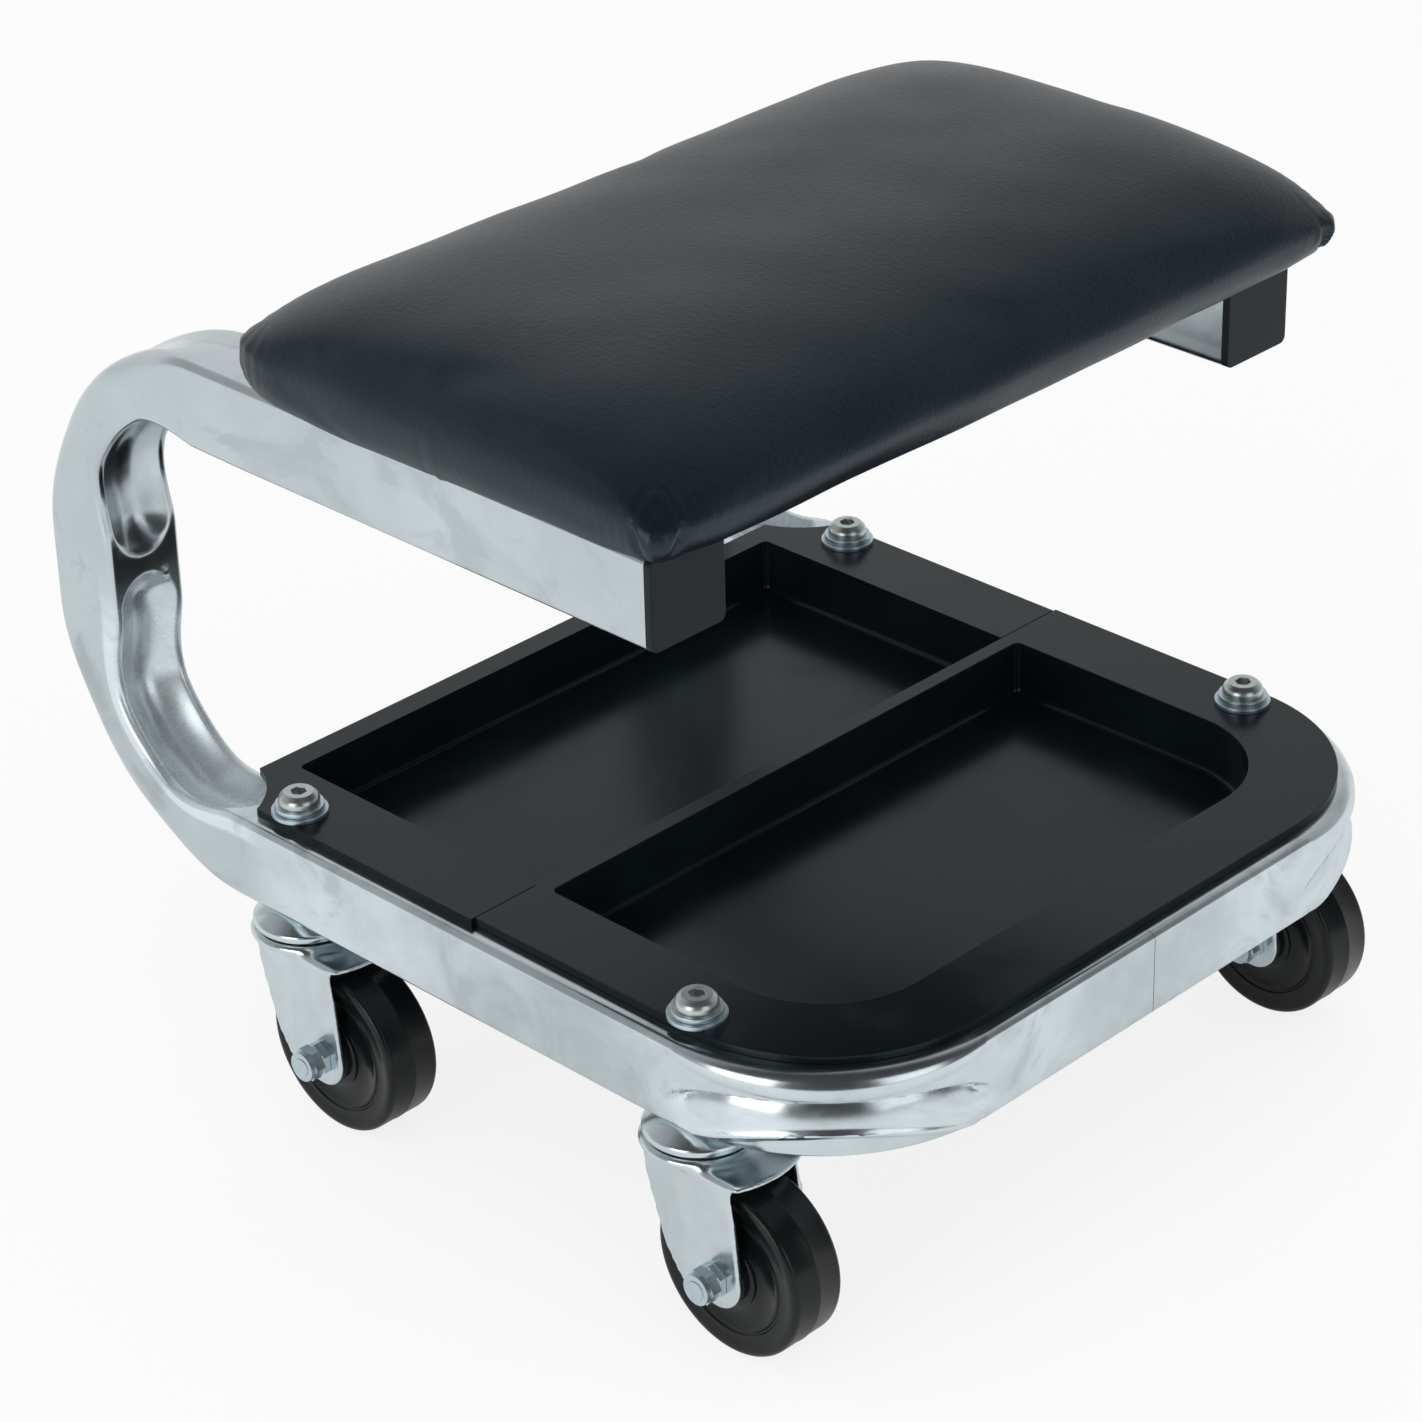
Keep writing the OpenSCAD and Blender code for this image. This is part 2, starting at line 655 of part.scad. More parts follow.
// The cushion drawn in by an even thickness t all over
module cushion_form(t) {
    hx = seat_w / 2 - t;
    hy = seat_l / 2 - t;
    low = seat_z + t;
    high = seat_crown - t;
    n = plan_points;
    side_rows = [
        for (d = DRAW_IN_SHARES) for (p = unit_plan)
            let (in = seat_draw_in * d[1], in_y = p[1] > 0 ? in * rear_draw_share : in)
            [(hx - in) * p[0], (hy - in_y) * p[1], low + (belt_z - low) * d[0]]
    ];
    top_rows = [
        for (s = TOP_SHARES) for (p = unit_plan)
            [hx * s * p[0], hy * s * p[1], belt_z + high * crown_share(s * p[0], s * p[1])]
    ];
    points = concat(side_rows, top_rows, [[0, 0, belt_z + high]]);
    rows = len(DRAW_IN_SHARES) + len(TOP_SHARES);
    last = len(points) - 1;
    bands = [for (k = [0 : rows - 2]) for (i = [0 : n - 1]) each band((k + 1) * n, k * n, n, i)];
    cap = [for (i = [0 : n - 1]) [last, last - n + (i + 1) % n, last - n + i]];
    underside = [[for (i = [0 : n - 1]) i]];
    translate([0, seat_mid_y, 0]) polyhedron(points, concat(bands, cap, underside));
}

// Plan of the board, drawn in by t, and a box below a level, both wide enough for the cushion
module board_plan(t) {
    rounded_plan(seat_low_x - t, seat_low_front_y + t, seat_low_rear_y - t, board_corner_r, board_corner_r);
}
module below(z) {
    translate([-seat_w, seat_front_y - seat_l, 0]) cube([2 * seat_w, 3 * seat_l, z]);
}

// A staple's crown on the hem and its two legs, grown by play where it cuts its own slots
module staples(play) {
    for (y = STAPLE_YS) for (i = [0 : staple_count - 1])
        translate([(i - (staple_count - 1) / 2) * staple_pitch, y, seat_z]) {
            translate([-staple_w / 2 - play, -staple_wire / 2 - play, -staple_wire - play])
                cube([staple_w + 2 * play, staple_wire + 2 * play, staple_wire + play]);
            for (x = [-staple_w / 2, staple_w / 2 - staple_wire])
                translate([x - play, -staple_wire / 2 - play, -staple_wire])
                    cube([staple_wire + 2 * play, staple_wire + 2 * play, staple_l + staple_wire + play]);
        }
}

module seat_board() {
    color("burlywood") difference() {
        translate([0, 0, board_z]) linear_extrude(board_t) board_plan(cover_edge);
        for (place = BOLT_PLACES) {
            post(place, board_z - over, board_top + over, tee_d + 2 * thread_play);
            post(place, board_top - tee_flange_t - thread_play, board_top + over, tee_flange_d + hole_play);
        }
        staples(thread_play);
    }
}

module seat_foam() {
    color("khaki") difference() {
        cushion_form(cover_t + touch);
        below(board_top + touch);
    }
}

module seat_cover() {
    color([0.09, 0.09, 0.09]) difference() {
        cushion_form(0);
        cushion_form(cover_t);
        translate([0, 0, seat_z - over]) linear_extrude(cover_t + 2 * over) board_plan(hem_w);
        staples(thread_play);
    }
}

module cover_staples() {
    color("silver") staples(0);
}

module seat_bolts() {
    head_z = arm_z - bolt_washer_t;
    color("silver") for (place = BOLT_PLACES) {
        post(place, head_z, board_top - tee_flange_t, bolt_d);
        translate([place[0], place[1], head_z - bolt_head_h]) hexagon(bolt_af, bolt_head_h);
    }
}

module seat_bolt_washers() {
    color("silver") for (place = BOLT_PLACES) translate([place[0], place[1], arm_z - bolt_washer_t])
        ring(bolt_washer_d, bolt_hole_d, bolt_washer_t);
}

module seat_tee_nuts() {
    color("gold") for (place = BOLT_PLACES) translate([place[0], place[1], 0]) difference() {
        union() {
            translate([0, 0, board_z]) cylinder(d = tee_d, h = board_t - tee_flange_t / 2);
            translate([0, 0, board_top - tee_flange_t]) cylinder(d = tee_flange_d, h = tee_flange_t);
        }
        translate([0, 0, board_z - over]) cylinder(d = bolt_d + 2 * thread_play, h = board_t + 2 * over);
    }
}

module raceway_cap() {
    rim = cap_r - cap_t;
    color("slategray") rotate_extrude() polygon([
        [screw_hole_d / 2, rail_z], [cap_flat_r, rail_z], [cap_r, rail_z - cap_slope_h], [cap_r, cap_bottom],
        [rim, cap_bottom], [rim, rail_z - cap_inner_depth(rim)],
        [cap_flat_r - (cap_inner_depth(cap_flat_r) - cap_t) / cap_slope, rail_z - cap_t],
        [screw_hole_d / 2, rail_z - cap_t]
    ]);
}

module kingpin() {
    foot = crown_bottom - touch - kingpin_head_h;
    height = rail_z - cap_t - foot;
    color("dimgray") translate([0, 0, foot]) difference() {
        union() {
            cylinder(r = kingpin_r, h = height);
            cylinder(r = kingpin_head_r, h = kingpin_head_h);
        }
        translate([0, 0, -over]) cylinder(d = screw_d + 2 * thread_play, h = height + 2 * over);
    }
}

module swivel_balls() {
    color("silver") for (i = [0 : ball_count - 1])
        rotate([0, 0, 360 * i / ball_count]) translate([ball_ring_r, 0, ball_z]) sphere(r = ball_r, $fn = 24);
}

// Outline of a leg seen from its side, with its distance from the swivel axis as s
module leg_outline() {
    axle = [trail, axle_z];
    translate(axle) circle(r = leg_round_r);
    polygon(concat(
        [axle + leg_round_r * [cos(leg_front_angle), sin(leg_front_angle)],
            [trail + leg_round_r - leg_top_inset, plate_top], [leg_back_s, plate_top],
            [leg_back_s, plate_z - leg_back_drop]],
        [for (q = LEG_REAR_SHARES) axle + leg_round_r * q],
        [axle + leg_round_r * [cos(leg_bottom_angle), sin(leg_bottom_angle)]]
    ));
}

// Stands an outline of s and height upright, as a plate whose outer face is at x
module upright(x, t) {
    translate([x, 0, 0]) rotate([90, 0, -90]) linear_extrude(t) children();
}

module right_leg() {
    upright(half_fork, fork_t) intersection() {
        leg_outline();
        translate([crease_s, 0]) square([lip_side_s, crown_top]);
    }
    translate([half_fork, -crease_s, 0]) rotate([0, 0, toe_in]) translate([-half_fork, crease_s, 0])
        upright(half_fork, fork_t) intersection() {
            leg_outline();
            translate([leg_back_s - over, 0]) square([crease_s - leg_back_s + over, crown_top]);
        }
}

// The round crown: a disc with a rim below it, a bore for the kingpin and a groove for the balls
module fork_crown() {
    bore = kingpin_r + run_play;
    rotate_extrude() difference() {
        polygon([
            [bore, crown_bottom], [crown_r - fork_t, crown_bottom], [crown_r - fork_t, plate_z],
            [crown_r, plate_z], [crown_r, crown_top], [bore, crown_top]
        ]);
        translate([ball_ring_r, ball_z]) circle(r = ball_r + groove_play);
    }
}

// The plate between the legs, from the crown's rim to the front lip
module fork_plate() {
    front = -lip_side_s - lip_bulge;
    translate([0, 0, plate_z]) linear_extrude(fork_t) difference() {
        intersection() {
            translate([0, front + lip_r]) circle(r = lip_r);
            translate([-half_fork, front - over]) square([fork_w, over - front - crease_s]);
        }
        circle(r = crown_r - fork_t / 2);
    }
}

module fork() {
    color("silver") difference() {
        union() {
            fork_crown();
            fork_plate();
            right_leg();
            mirror([1, 0, 0]) right_leg();
        }
        translate([-fork_w, -trail, axle_z]) rotate([0, 90, 0])
            cylinder(r = axle_r + thread_play, h = 2 * fork_w);
    }
}

// Things on the axle, along x from a place on it
module on_axle(x) {
    translate([x, -trail, axle_z]) rotate([0, 90, 0]) children();
}

module axle_sleeve() {
    color("gray") on_axle(-leg_x) difference() {
        cylinder(r = axle_sleeve_r, h = 2 * leg_x);
        translate([0, 0, -over]) cylinder(r = axle_r + thread_play, h = 2 * (leg_x + over));
    }
}

module axle_bolt() {
    color("silver") {
        on_axle(-half_fork - nuts_h - axle_end) cylinder(r = axle_r, h = fork_w + nuts_h + axle_end);
        on_axle(half_fork) hexagon(axle_af, axle_head_h);
    }
}

module jam_nut() {
    color("silver") on_axle(-half_fork - jam_nut_h) difference() {
        hexagon(axle_af, jam_nut_h);
        translate([0, 0, -over]) cylinder(r = axle_r + thread_play, h = jam_nut_h + 2 * over);
    }
}

module lock_nut() {
    color("lightsteelblue") on_axle(-half_fork - nuts_h) difference() {
        union() {
            cylinder(d = axle_af, h = collar_h + lock_nut_h / 2);
            translate([0, 0, collar_h]) rotate([0, 0, 30]) hexagon(axle_af, lock_nut_h);
        }
        translate([0, 0, -over]) cylinder(r = axle_r + thread_play, h = nuts_h + 2 * over);
    }
}

// Half profile of the wheel, as radius and half width
module wheel_half_profile() {
    face = wheel_w / 2 - side_recess;
    edge = wheel_r - tread_edge_r;
    groove_r = wheel_r * side_groove_share;
    bore_r = axle_sleeve_r + run_play;
    polygon(concat(
        [[bore_r, -over], [bore_r, hub_x], [hub_r, hub_x], [hub_r, face + hub_step_h],
            [hub_step_r, face + hub_step_h], [hub_step_r, face],
            [groove_r - side_groove_w, face], [groove_r - side_groove_w / 2, face - side_groove_depth],
            [groove_r + side_groove_w / 2, face - side_groove_depth], [groove_r + side_groove_w, face],
            [edge - tread_edge_r, face]],
        arc([edge, wheel_w / 2 - tread_edge_r], tread_edge_r, 90, 0, 6),
        [[wheel_r, -over]]
    ));
}

module wheel() {
    color([0.06, 0.06, 0.06]) translate([0, -trail, axle_z]) rotate([0, 90, 0]) rotate_extrude() {
        intersection() {
            wheel_half_profile();
            square([wheel_r, hub_x]);
        }
        mirror([0, 1]) intersection() {
            wheel_half_profile();
            square([wheel_r, hub_x]);
        }
    }
}

// Sets a caster's piece under its screw: 0 front left, 1 front right, 2 rear left, 3 rear right
module at_caster(i) {
    translate([SCREW_PLACES[i][0], SCREW_PLACES[i][1], 0]) children();
}

frame_tube_left();
frame_tube_right();
joiner_sleeve();
joiner_screws();
arm_plug_left();
arm_plug_right();
rear_tray();
front_tray();
tray_screws();
tray_lock_washers();
tray_flat_washers();
seat_board();
seat_foam();
seat_cover();
cover_staples();
seat_bolts();
seat_bolt_washers();
seat_tee_nuts();
at_caster(0) raceway_cap();  // raceway_cap_front_left
at_caster(1) raceway_cap();  // raceway_cap_front_right
at_caster(2) raceway_cap();  // raceway_cap_rear_left
at_caster(3) raceway_cap();  // raceway_cap_rear_right
at_caster(0) kingpin();  // kingpin_front_left
at_caster(1) kingpin();  // kingpin_front_right
at_caster(2) kingpin();  // kingpin_rear_left
at_caster(3) kingpin();  // kingpin_rear_right
at_caster(0) swivel_balls();  // swivel_balls_front_left
at_caster(1) swivel_balls();  // swivel_balls_front_right
at_caster(2) swivel_balls();  // swivel_balls_rear_left
at_caster(3) swivel_balls();  // swivel_balls_rear_right
at_caster(0) fork();  // fork_front_left
at_caster(1) fork();  // fork_front_right
at_caster(2) fork();  // fork_rear_left
at_caster(3) fork();  // fork_rear_right
at_caster(0) axle_sleeve();  // axle_sleeve_front_left
at_caster(1) axle_sleeve();  // axle_sleeve_front_right
at_caster(2) axle_sleeve();  // axle_sleeve_rear_left
at_caster(3) axle_sleeve();  // axle_sleeve_rear_right
at_caster(0) axle_bolt();  // axle_bolt_front_left
at_caster(1) axle_bolt();  // axle_bolt_front_right
at_caster(2) axle_bolt();  // axle_bolt_rear_left
at_caster(3) axle_bolt();  // axle_bolt_rear_right
at_caster(0) jam_nut();  // jam_nut_front_left
at_caster(1) jam_nut();  // jam_nut_front_right
at_caster(2) jam_nut();  // jam_nut_rear_left
at_caster(3) jam_nut();  // jam_nut_rear_right
at_caster(0) lock_nut();  // lock_nut_front_left
at_caster(1) lock_nut();  // lock_nut_front_right
at_caster(2) lock_nut();  // lock_nut_rear_left
at_caster(3) lock_nut();  // lock_nut_rear_right
at_caster(0) wheel();  // wheel_front_left
at_caster(1) wheel();  // wheel_front_right
at_caster(2) wheel();  // wheel_rear_left
at_caster(3) wheel();  // wheel_rear_right
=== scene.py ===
"""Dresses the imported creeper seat: plated tubes, moulded trays, a vinyl cushion and casters."""
import math

import bmesh
import bpy
from mathutils import Matrix, Vector, noise


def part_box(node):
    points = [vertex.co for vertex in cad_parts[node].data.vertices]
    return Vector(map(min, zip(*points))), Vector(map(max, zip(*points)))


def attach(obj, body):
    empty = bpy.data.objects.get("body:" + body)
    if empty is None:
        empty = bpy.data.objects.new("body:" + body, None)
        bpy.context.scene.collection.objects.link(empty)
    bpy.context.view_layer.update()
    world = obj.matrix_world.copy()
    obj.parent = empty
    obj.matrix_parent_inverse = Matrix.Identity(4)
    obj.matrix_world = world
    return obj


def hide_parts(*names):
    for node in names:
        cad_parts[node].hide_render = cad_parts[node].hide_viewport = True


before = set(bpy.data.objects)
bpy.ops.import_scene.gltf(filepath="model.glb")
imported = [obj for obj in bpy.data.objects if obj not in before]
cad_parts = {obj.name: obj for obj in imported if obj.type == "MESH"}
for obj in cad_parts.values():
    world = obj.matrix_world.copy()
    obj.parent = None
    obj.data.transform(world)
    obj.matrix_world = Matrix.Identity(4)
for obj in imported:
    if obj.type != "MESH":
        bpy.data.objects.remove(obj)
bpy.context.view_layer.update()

bl_info = {
    "name": "Creeper Seat Dressing",
    "version": (1, 0, 0),
    "blender": (4, 5, 0),
    "location": "View3D > Sidebar > Creeper Seat",
    "description": "Models and finishes the visible pieces of a wheeled creeper seat round its packed frame",
    "category": "Object",
}

CORNERS = ("front_left", "front_right", "rear_left", "rear_right")
WHITE = (1, 1, 1, 1)
DARK_SIDE = (-0.40, -0.73, 0.56)
ROOM_STOPS = ((0.28, 0.80), (0.35, 0.52), (0.62, 0.38), (0.80, 0.05))
tube_low, tube_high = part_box("frame_tube_left")
plug_low, plug_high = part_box("arm_plug_left")
cover_low, cover_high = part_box("seat_cover")
wheel_low, wheel_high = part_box("wheel_front_left")


def metres(name, description, default):
    return bpy.props.FloatProperty(name=name, description=description, default=default, unit="LENGTH")


def degrees(name, description, default):
    return bpy.props.FloatProperty(
        name=name, description=description, default=math.radians(default), subtype="ANGLE")


def number(name, description, default):
    return bpy.props.FloatProperty(name=name, description=description, default=default)


def rgb(name, description, default):
    return bpy.props.FloatVectorProperty(
        name=name, description=description, default=default, subtype="COLOR")


class FrameSizes(bpy.types.PropertyGroup):
    """Sizes of the plated tubes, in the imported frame."""
    tube: metres("Tube", "Width and height of the square tube", 0.038)
    wall: metres("Wall", "Thickness of the tube's wall", 0.002)
    corner: metres("Corner", "Radius of the tube's four edges", 0.0032)
    arm_front: metres("Arm front", "Place of the arms' front ends along Y", -0.132)
    front_face: metres("Front face", "Place of the front rail's face along Y", -0.223)
    bend_radius: metres("Bend radius", "Centre line radius of the bends behind the seat", 0.08)
    corner_radius: metres("Corner radius", "Centre line radius of the front corners", 0.066)
    butt_gap: metres("Butt gap", "Gap between the tubes in the front rail", 0.0003)
    bend_corner: metres("Bend corner", "Radius to which the edges open round the outside of a bend", 0.012)
    lip_crush: metres("Lip crush", "Depth to which a bend's inner lips are pushed in", 0.01)
    dish: metres("Dish", "Further depth of the dishes between the lips", 0.009)
    outer_sink: metres("Outer sink", "Depth to which a bend's outer wall sinks in its middle", 0.0035)
    far_sag: metres("Far sag", "How much lower the right tube's upper bend sits", 0.0032)
    ridge_drop: metres("Ridge drop", "Drop of the crest along a front corner", 0.0078)
    corner_dish: metres("Corner dish", "Depth of the dishes at the ends of a front corner", 0.0064)


class SeatSizes(bpy.types.PropertyGroup):
    """Sizes of the cushion and its creases."""
    belt: metres("Belt", "Height of the widest level above the cushion's underside", 0.0135)
    crown: metres("Crown", "Height of the crown above the widest level", 0.036)
    draw_in: metres("Draw in", "How far the sides draw in down to the underside", 0.0104)
    offset: metres("Offset", "How far the cover sits to the right of the frame's middle", 0.0028)
    hem: metres("Hem", "Width of the hem under the board", 0.012)
    vinyl: metres("Vinyl", "Thickness of the cover", 0.0012)
    pressure: number("Pressure", "Pressure of the foam on the cover in the simulation", 4.0)
    swell: metres("Swell", "Most that the simulation may move the cover", 0.0015)
    pleat: metres("Pleat", "Depth of the pleats at the corners", 0.0032)


class Finishes(bpy.types.PropertyGroup):
    """Colours of the finishes."""
    plating: rgb("Plating", "Colour of the plated tubes", (0.64, 0.715, 0.745))
    zinc: rgb("Zinc", "Colour of the zinc plated parts", (0.56, 0.66, 0.71))
    steel: rgb("Steel", "Colour of the screws", (0.58, 0.63, 0.63))
    tray: rgb("Tray", "Colour of the moulded trays", (0.0040, 0.0070, 0.0085))
    vinyl: rgb("Vinyl", "Colour of the cushion's cover", (0.0035, 0.0065, 0.0105))
    wheel: rgb("Wheel", "Colour of the wheels", (0.0040, 0.0052, 0.0060))
    board: rgb("Board", "Colour of the stained seat board", (0.010, 0.010, 0.012))


class StageSettings(bpy.types.PropertyGroup):
    """Camera and light."""
    azimuth: degrees("Azimuth", "Angle of the view round the object", -45.025)
    elevation: degrees("Elevation", "Angle of the view above the floor", 28.839)
    roll: degrees("Roll", "Turn of the view about its axis", -1.4706)
    distance: metres("Distance", "Distance of the camera from its target", 1.8669)
    target: bpy.props.FloatVectorProperty(
        name="Target", description="Point in the middle of the view", default=(0.0022, 0.0222, 0.1430),
        subtype="TRANSLATION")
    lens: number("Lens", "Focal length for a 36 mm wide sensor, in millimetres", 110.957)
    world: number("World", "Strength of the light from all round", 0.86)
    boxes: number("Soft boxes", "Power of the lamp on the left, in watts; the right one has 0.45 of it", 11)


# Selecting and shaping


def only(*objects):
    """Leaves nothing but these objects selected, the first one active."""
    if bpy.context.mode != "OBJECT":
        bpy.ops.object.mode_set(mode="OBJECT")
    bpy.ops.object.select_all(action="DESELECT")
    for obj in objects:
        obj.select_set(True)
    if objects:
        bpy.context.view_layer.objects.active = objects[0]


def edit(obj, mode="VERT"):
    """Opens one object in edit mode with nothing selected."""
    only(obj)
    bpy.ops.object.mode_set(mode="EDIT")
    bpy.ops.mesh.select_mode(type=mode)
    bpy.ops.mesh.select_all(action="DESELECT")


def pick(kind, test):
    """Selects the vertices, edges or faces of the edited mesh that pass a test."""
    mesh = bpy.context.edit_object.data
    shape = bmesh.from_edit_mesh(mesh)
    for item in getattr(shape, kind):
        item.select_set(bool(test(item)))
    shape.select_flush_mode()
    bmesh.update_edit_mesh(mesh)


def pick_all():
    bpy.ops.mesh.select_all(action="SELECT")


def done():
    bpy.ops.object.mode_set(mode="OBJECT")


def modify(obj, kind, **settings):
    """Adds a modifier with these settings and applies it."""
    only(obj)
    modifier = obj.modifiers.new(kind.title(), kind)
    for name, value in settings.items():
        setattr(modifier, name, value)
    bpy.ops.object.modifier_apply(modifier=modifier.name)


def smooth(obj, angle=35):
    only(obj)
    bpy.ops.object.shade_smooth_by_angle(angle=math.radians(angle))


def face_outwards(obj):
    edit(obj)
    pick_all()
    bpy.ops.mesh.remove_doubles(threshold=1e-6)
    bpy.ops.mesh.normals_make_consistent(inside=False)
    done()


def new_object(name, data):
    """An object for a mesh, lamp or camera, linked to the scene."""
    made = bpy.data.objects.new(name, data)
    bpy.context.scene.collection.objects.link(made)
    return made


def traced(node, name, merge=2e-6):
    """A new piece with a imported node's shape, its close points merged and its flat faces made whole."""
    piece = new_object(name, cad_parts[node].data.copy())
    piece.data.materials.clear()
    edit(piece)
    pick_all()
    bpy.ops.mesh.remove_doubles(threshold=merge)
    bpy.ops.mesh.dissolve_limited(angle_limit=math.radians(0.3))
    done()
    return piece


def soften(piece, width, segments=2, angle=32):
    """Rounds a piece's sharp edges."""
    modify(piece, "BEVEL", width=width, segments=segments, limit_method="ANGLE",
        angle_limit=math.radians(angle), use_clamp_overlap=True, miter_outer="MITER_ARC")
    smooth(piece, 40)
    modify(piece, "WEIGHTED_NORMAL", keep_sharp=True, weight=80)


def set_in(piece, node, body, slot, finish):
    """Seats a finished piece on its body, in place of its node."""
    piece.data.materials.clear()
    piece.data.materials.append(finish)
    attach(piece, body)
    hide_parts(node)
    return piece


def copied(piece, name, matrix):
    """A copy of a piece set elsewhere, with its own mesh."""
    copy = new_object(name, piece.data.copy())
    copy.data.transform(matrix)
    return copy


# Finishes


class Signal:
    """A node's socket. Sums, differences and products of signals add Math nodes that work them out."""

    def __init__(self, finish, socket):
        self.finish = finish
        self.socket = socket

    def _maths(self, operation, *values):
        return self.finish.node("Math", {"operation": operation}, list(values))

    def __add__(self, other):
        return self._maths("ADD", self, other)

    __radd__ = __add__

    def __sub__(self, other):
        return self._maths("SUBTRACT", self, other)

    def __rsub__(self, other):
        return self._maths("SUBTRACT", other, self)

    def __mul__(self, other):
        return self._maths("MULTIPLY", self, other)

    __rmul__ = __mul__

    def between(self, low, high):
        """0 below low, 1 above high and a smooth rise between them."""
        return self.finish.node(
            "MapRange", {"interpolation_type": "SMOOTHSTEP"},
            {"Value": self, "From Min": low, "From Max": high})


class Nodes:
    """The nodes of a material or of the world."""

    def __init__(self, owner):
        self.owner = owner
        owner.use_nodes = True
        self.tree = owner.node_tree
        self.tree.nodes.clear()

    def node(self, kind, settings=None, inputs=(), output=0):
        """Adds a node: its settings first, then the values or signals of its sockets."""
        made = self.tree.nodes.new("ShaderNode" + kind)
        for name, value in (settings or {}).items():
            if name == "stops":
                while len(made.color_ramp.elements) < len(value):
                    made.color_ramp.elements.new(0.5)
                for element, (place, level) in zip(made.color_ramp.elements, value):
                    element.position = place
                    element.color = (level, level, level, 1)
            else:
                setattr(made, name, value)
        pairs = inputs.items() if isinstance(inputs, dict) else enumerate(inputs)
        for name, value in pairs:
            if isinstance(value, Signal):
                self.tree.links.new(value.socket, made.inputs[name])
            else:
                made.inputs[name].default_value = value
        return Signal(self, made.outputs[output]) if made.outputs else None


class Finish(Nodes):
    """A material made of nodes."""

    def __init__(self, name):
        super().__init__(bpy.data.materials.new(name))

    def place(self, stretch=(1, 1, 1), attribute=None):
        """Object coordinates, or a named attribute, stretched along each axis."""
        if attribute:
            source = self.node("Attribute", {"attribute_name": attribute}, output="Vector")
        else:
            source = self.node("TexCoord", output="Object")
        return self.node("Mapping", None, {"Vector": source, "Scale": stretch})

    def grain(self, place, scale, detail, rough, distortion=0):
        return self.node("TexNoise", None, {
            "Vector": place, "Scale": scale, "Detail": detail, "Roughness": rough,
            "Distortion": distortion})

    def cells(self, place, scale, feature="F1"):
        return self.node("TexVoronoi", {"feature": feature}, {"Vector": place, "Scale": scale})

    def blend(self, share, first, second):
        return self.node("Mix", {"data_type": "RGBA"}, {0: share, 6: first, 7: second}, output=2)

    def bump(self, height, strength, distance, below=None):
        inputs = {"Height": height, "Strength": strength, "Distance": distance}
        if below:
            inputs["Normal"] = below
        return self.node("Bump", None, inputs)

    def surface(self, **sockets):
        """Ends the finish in a Principled surface; a socket's name is written with underscores."""
        named = {name.replace("_", " "): value for name, value in sockets.items()}
        shader = self.node("BsdfPrincipled", None, named)
        self.node("OutputMaterial", None, {"Surface": shader})
        return self.owner


def tinted(colour, share):
    return (*(min(1.0, c * share) for c in colour), 1)


def plated_tube(colour, path):
    """Bright plating over drawn tube: streaks along the tube, cloudy patches, swirls and finger marks, with
    painted shade behind the rails and in the bends and a painted highlight in the lower trough.
    """
    finish = Finish("plated_tube")

    def place(stretch=1):
        return finish.place((stretch, 1, 1), "straightened")

    length = finish.node("SeparateXYZ", None, [place()])
    offset = finish.node("SeparateXYZ", None, [place()], output=1)
    inner_wall, rails, bends = (-0.012, -0.009), (0.56, 0.58), (0.20, 0.27)
    inside = 1 - offset.between(*inner_wall)
    behind = 1 - length.between(*rails)
    bend = length.between(*bends) * behind * (1 - inside)
    low = path.lower_bend
    trough = inside * behind * length.between(low - 0.03, low + 0.01)
    start, end = path.corner_start, path.corner_start + path.corner_l
    corner = length.between(start - 0.012, start + 0.006) * (1 - length.between(end - 0.006, end + 0.012))

    streaks = finish.grain(place(2.5), 160, 4, 0.6)
    clouds = finish.grain(place(), 14, 4, 0.6)
    smears = finish.grain(place(0.6), 55, 5, 0.65).between(0.5, 0.75)
    swirls = finish.grain(place(0.7), 24, 5, 0.6, 1.4).between(0.5, 0.66)
    tone = finish.blend(clouds.between(0.3, 0.75), tinted(colour, 0.82), tinted(colour, 1.14))
    # Painted shade: behind the rails, outside the lower trough, the plating is darkened towards 0.80 of its
    # colour.
    tone = finish.blend(0.6 * (behind - trough), tone, tinted(colour, 0.80))
    # Painted highlight: the lower trough of the inner wall is lightened towards 1.18 of the plating's
    # colour; below it is also made less metallic and rougher.
    tone = finish.blend(0.7 * trough, tone, tinted(colour, 1.18))
    # Swirled marks darken the plating at random; from the upper bend back to the rails, away from the inner
    # wall, they are made stronger as painted shade.
    tone = finish.blend((0.5 + 0.3 * bend) * swirls, tone, tinted(colour, 0.64))
    rough = 0.08 + 0.09 * clouds + 0.10 * smears + 0.05 * streaks
    rough = rough + 0.07 * (inside * behind) + 0.05 * corner + 0.05 * trough
    ripple = finish.grain(place(0.35), 32, 2, 0.4)
    relief = finish.bump(streaks, 0.05, 0.0002, finish.bump(ripple, 0.35, 0.0006))
    return finish.surface(Base_Color=tone, Metallic=1 - 0.35 * trough, Roughness=rough, Normal=relief)


def zinc_plate(name, colour, scale=1.0, dull=0.13):
    """Zinc over pressed or turned steel, with a cold tint that wanders a little."""
    finish = Finish(name)
    place = finish.place()
    clouds = finish.grain(place, 90 * scale, 4, 0.6)
    specks = finish.grain(place, 900 * scale, 2, 0.5)
    warm = finish.grain(place, 45 * scale, 2, 0.5).between(0.52, 0.7)
    tone = finish.blend(clouds, tinted(colour, 0.85), tinted(colour, 1.12))
    tone = finish.blend(0.2 * warm, tone, (0.70, 0.72, 0.66, 1))
    rough = dull + 0.14 * clouds + 0.05 * specks
    relief = finish.bump(specks, 0.12, 0.0002)
    return finish.surface(Base_Color=tone, Metallic=1.0, Roughness=rough, Normal=relief)


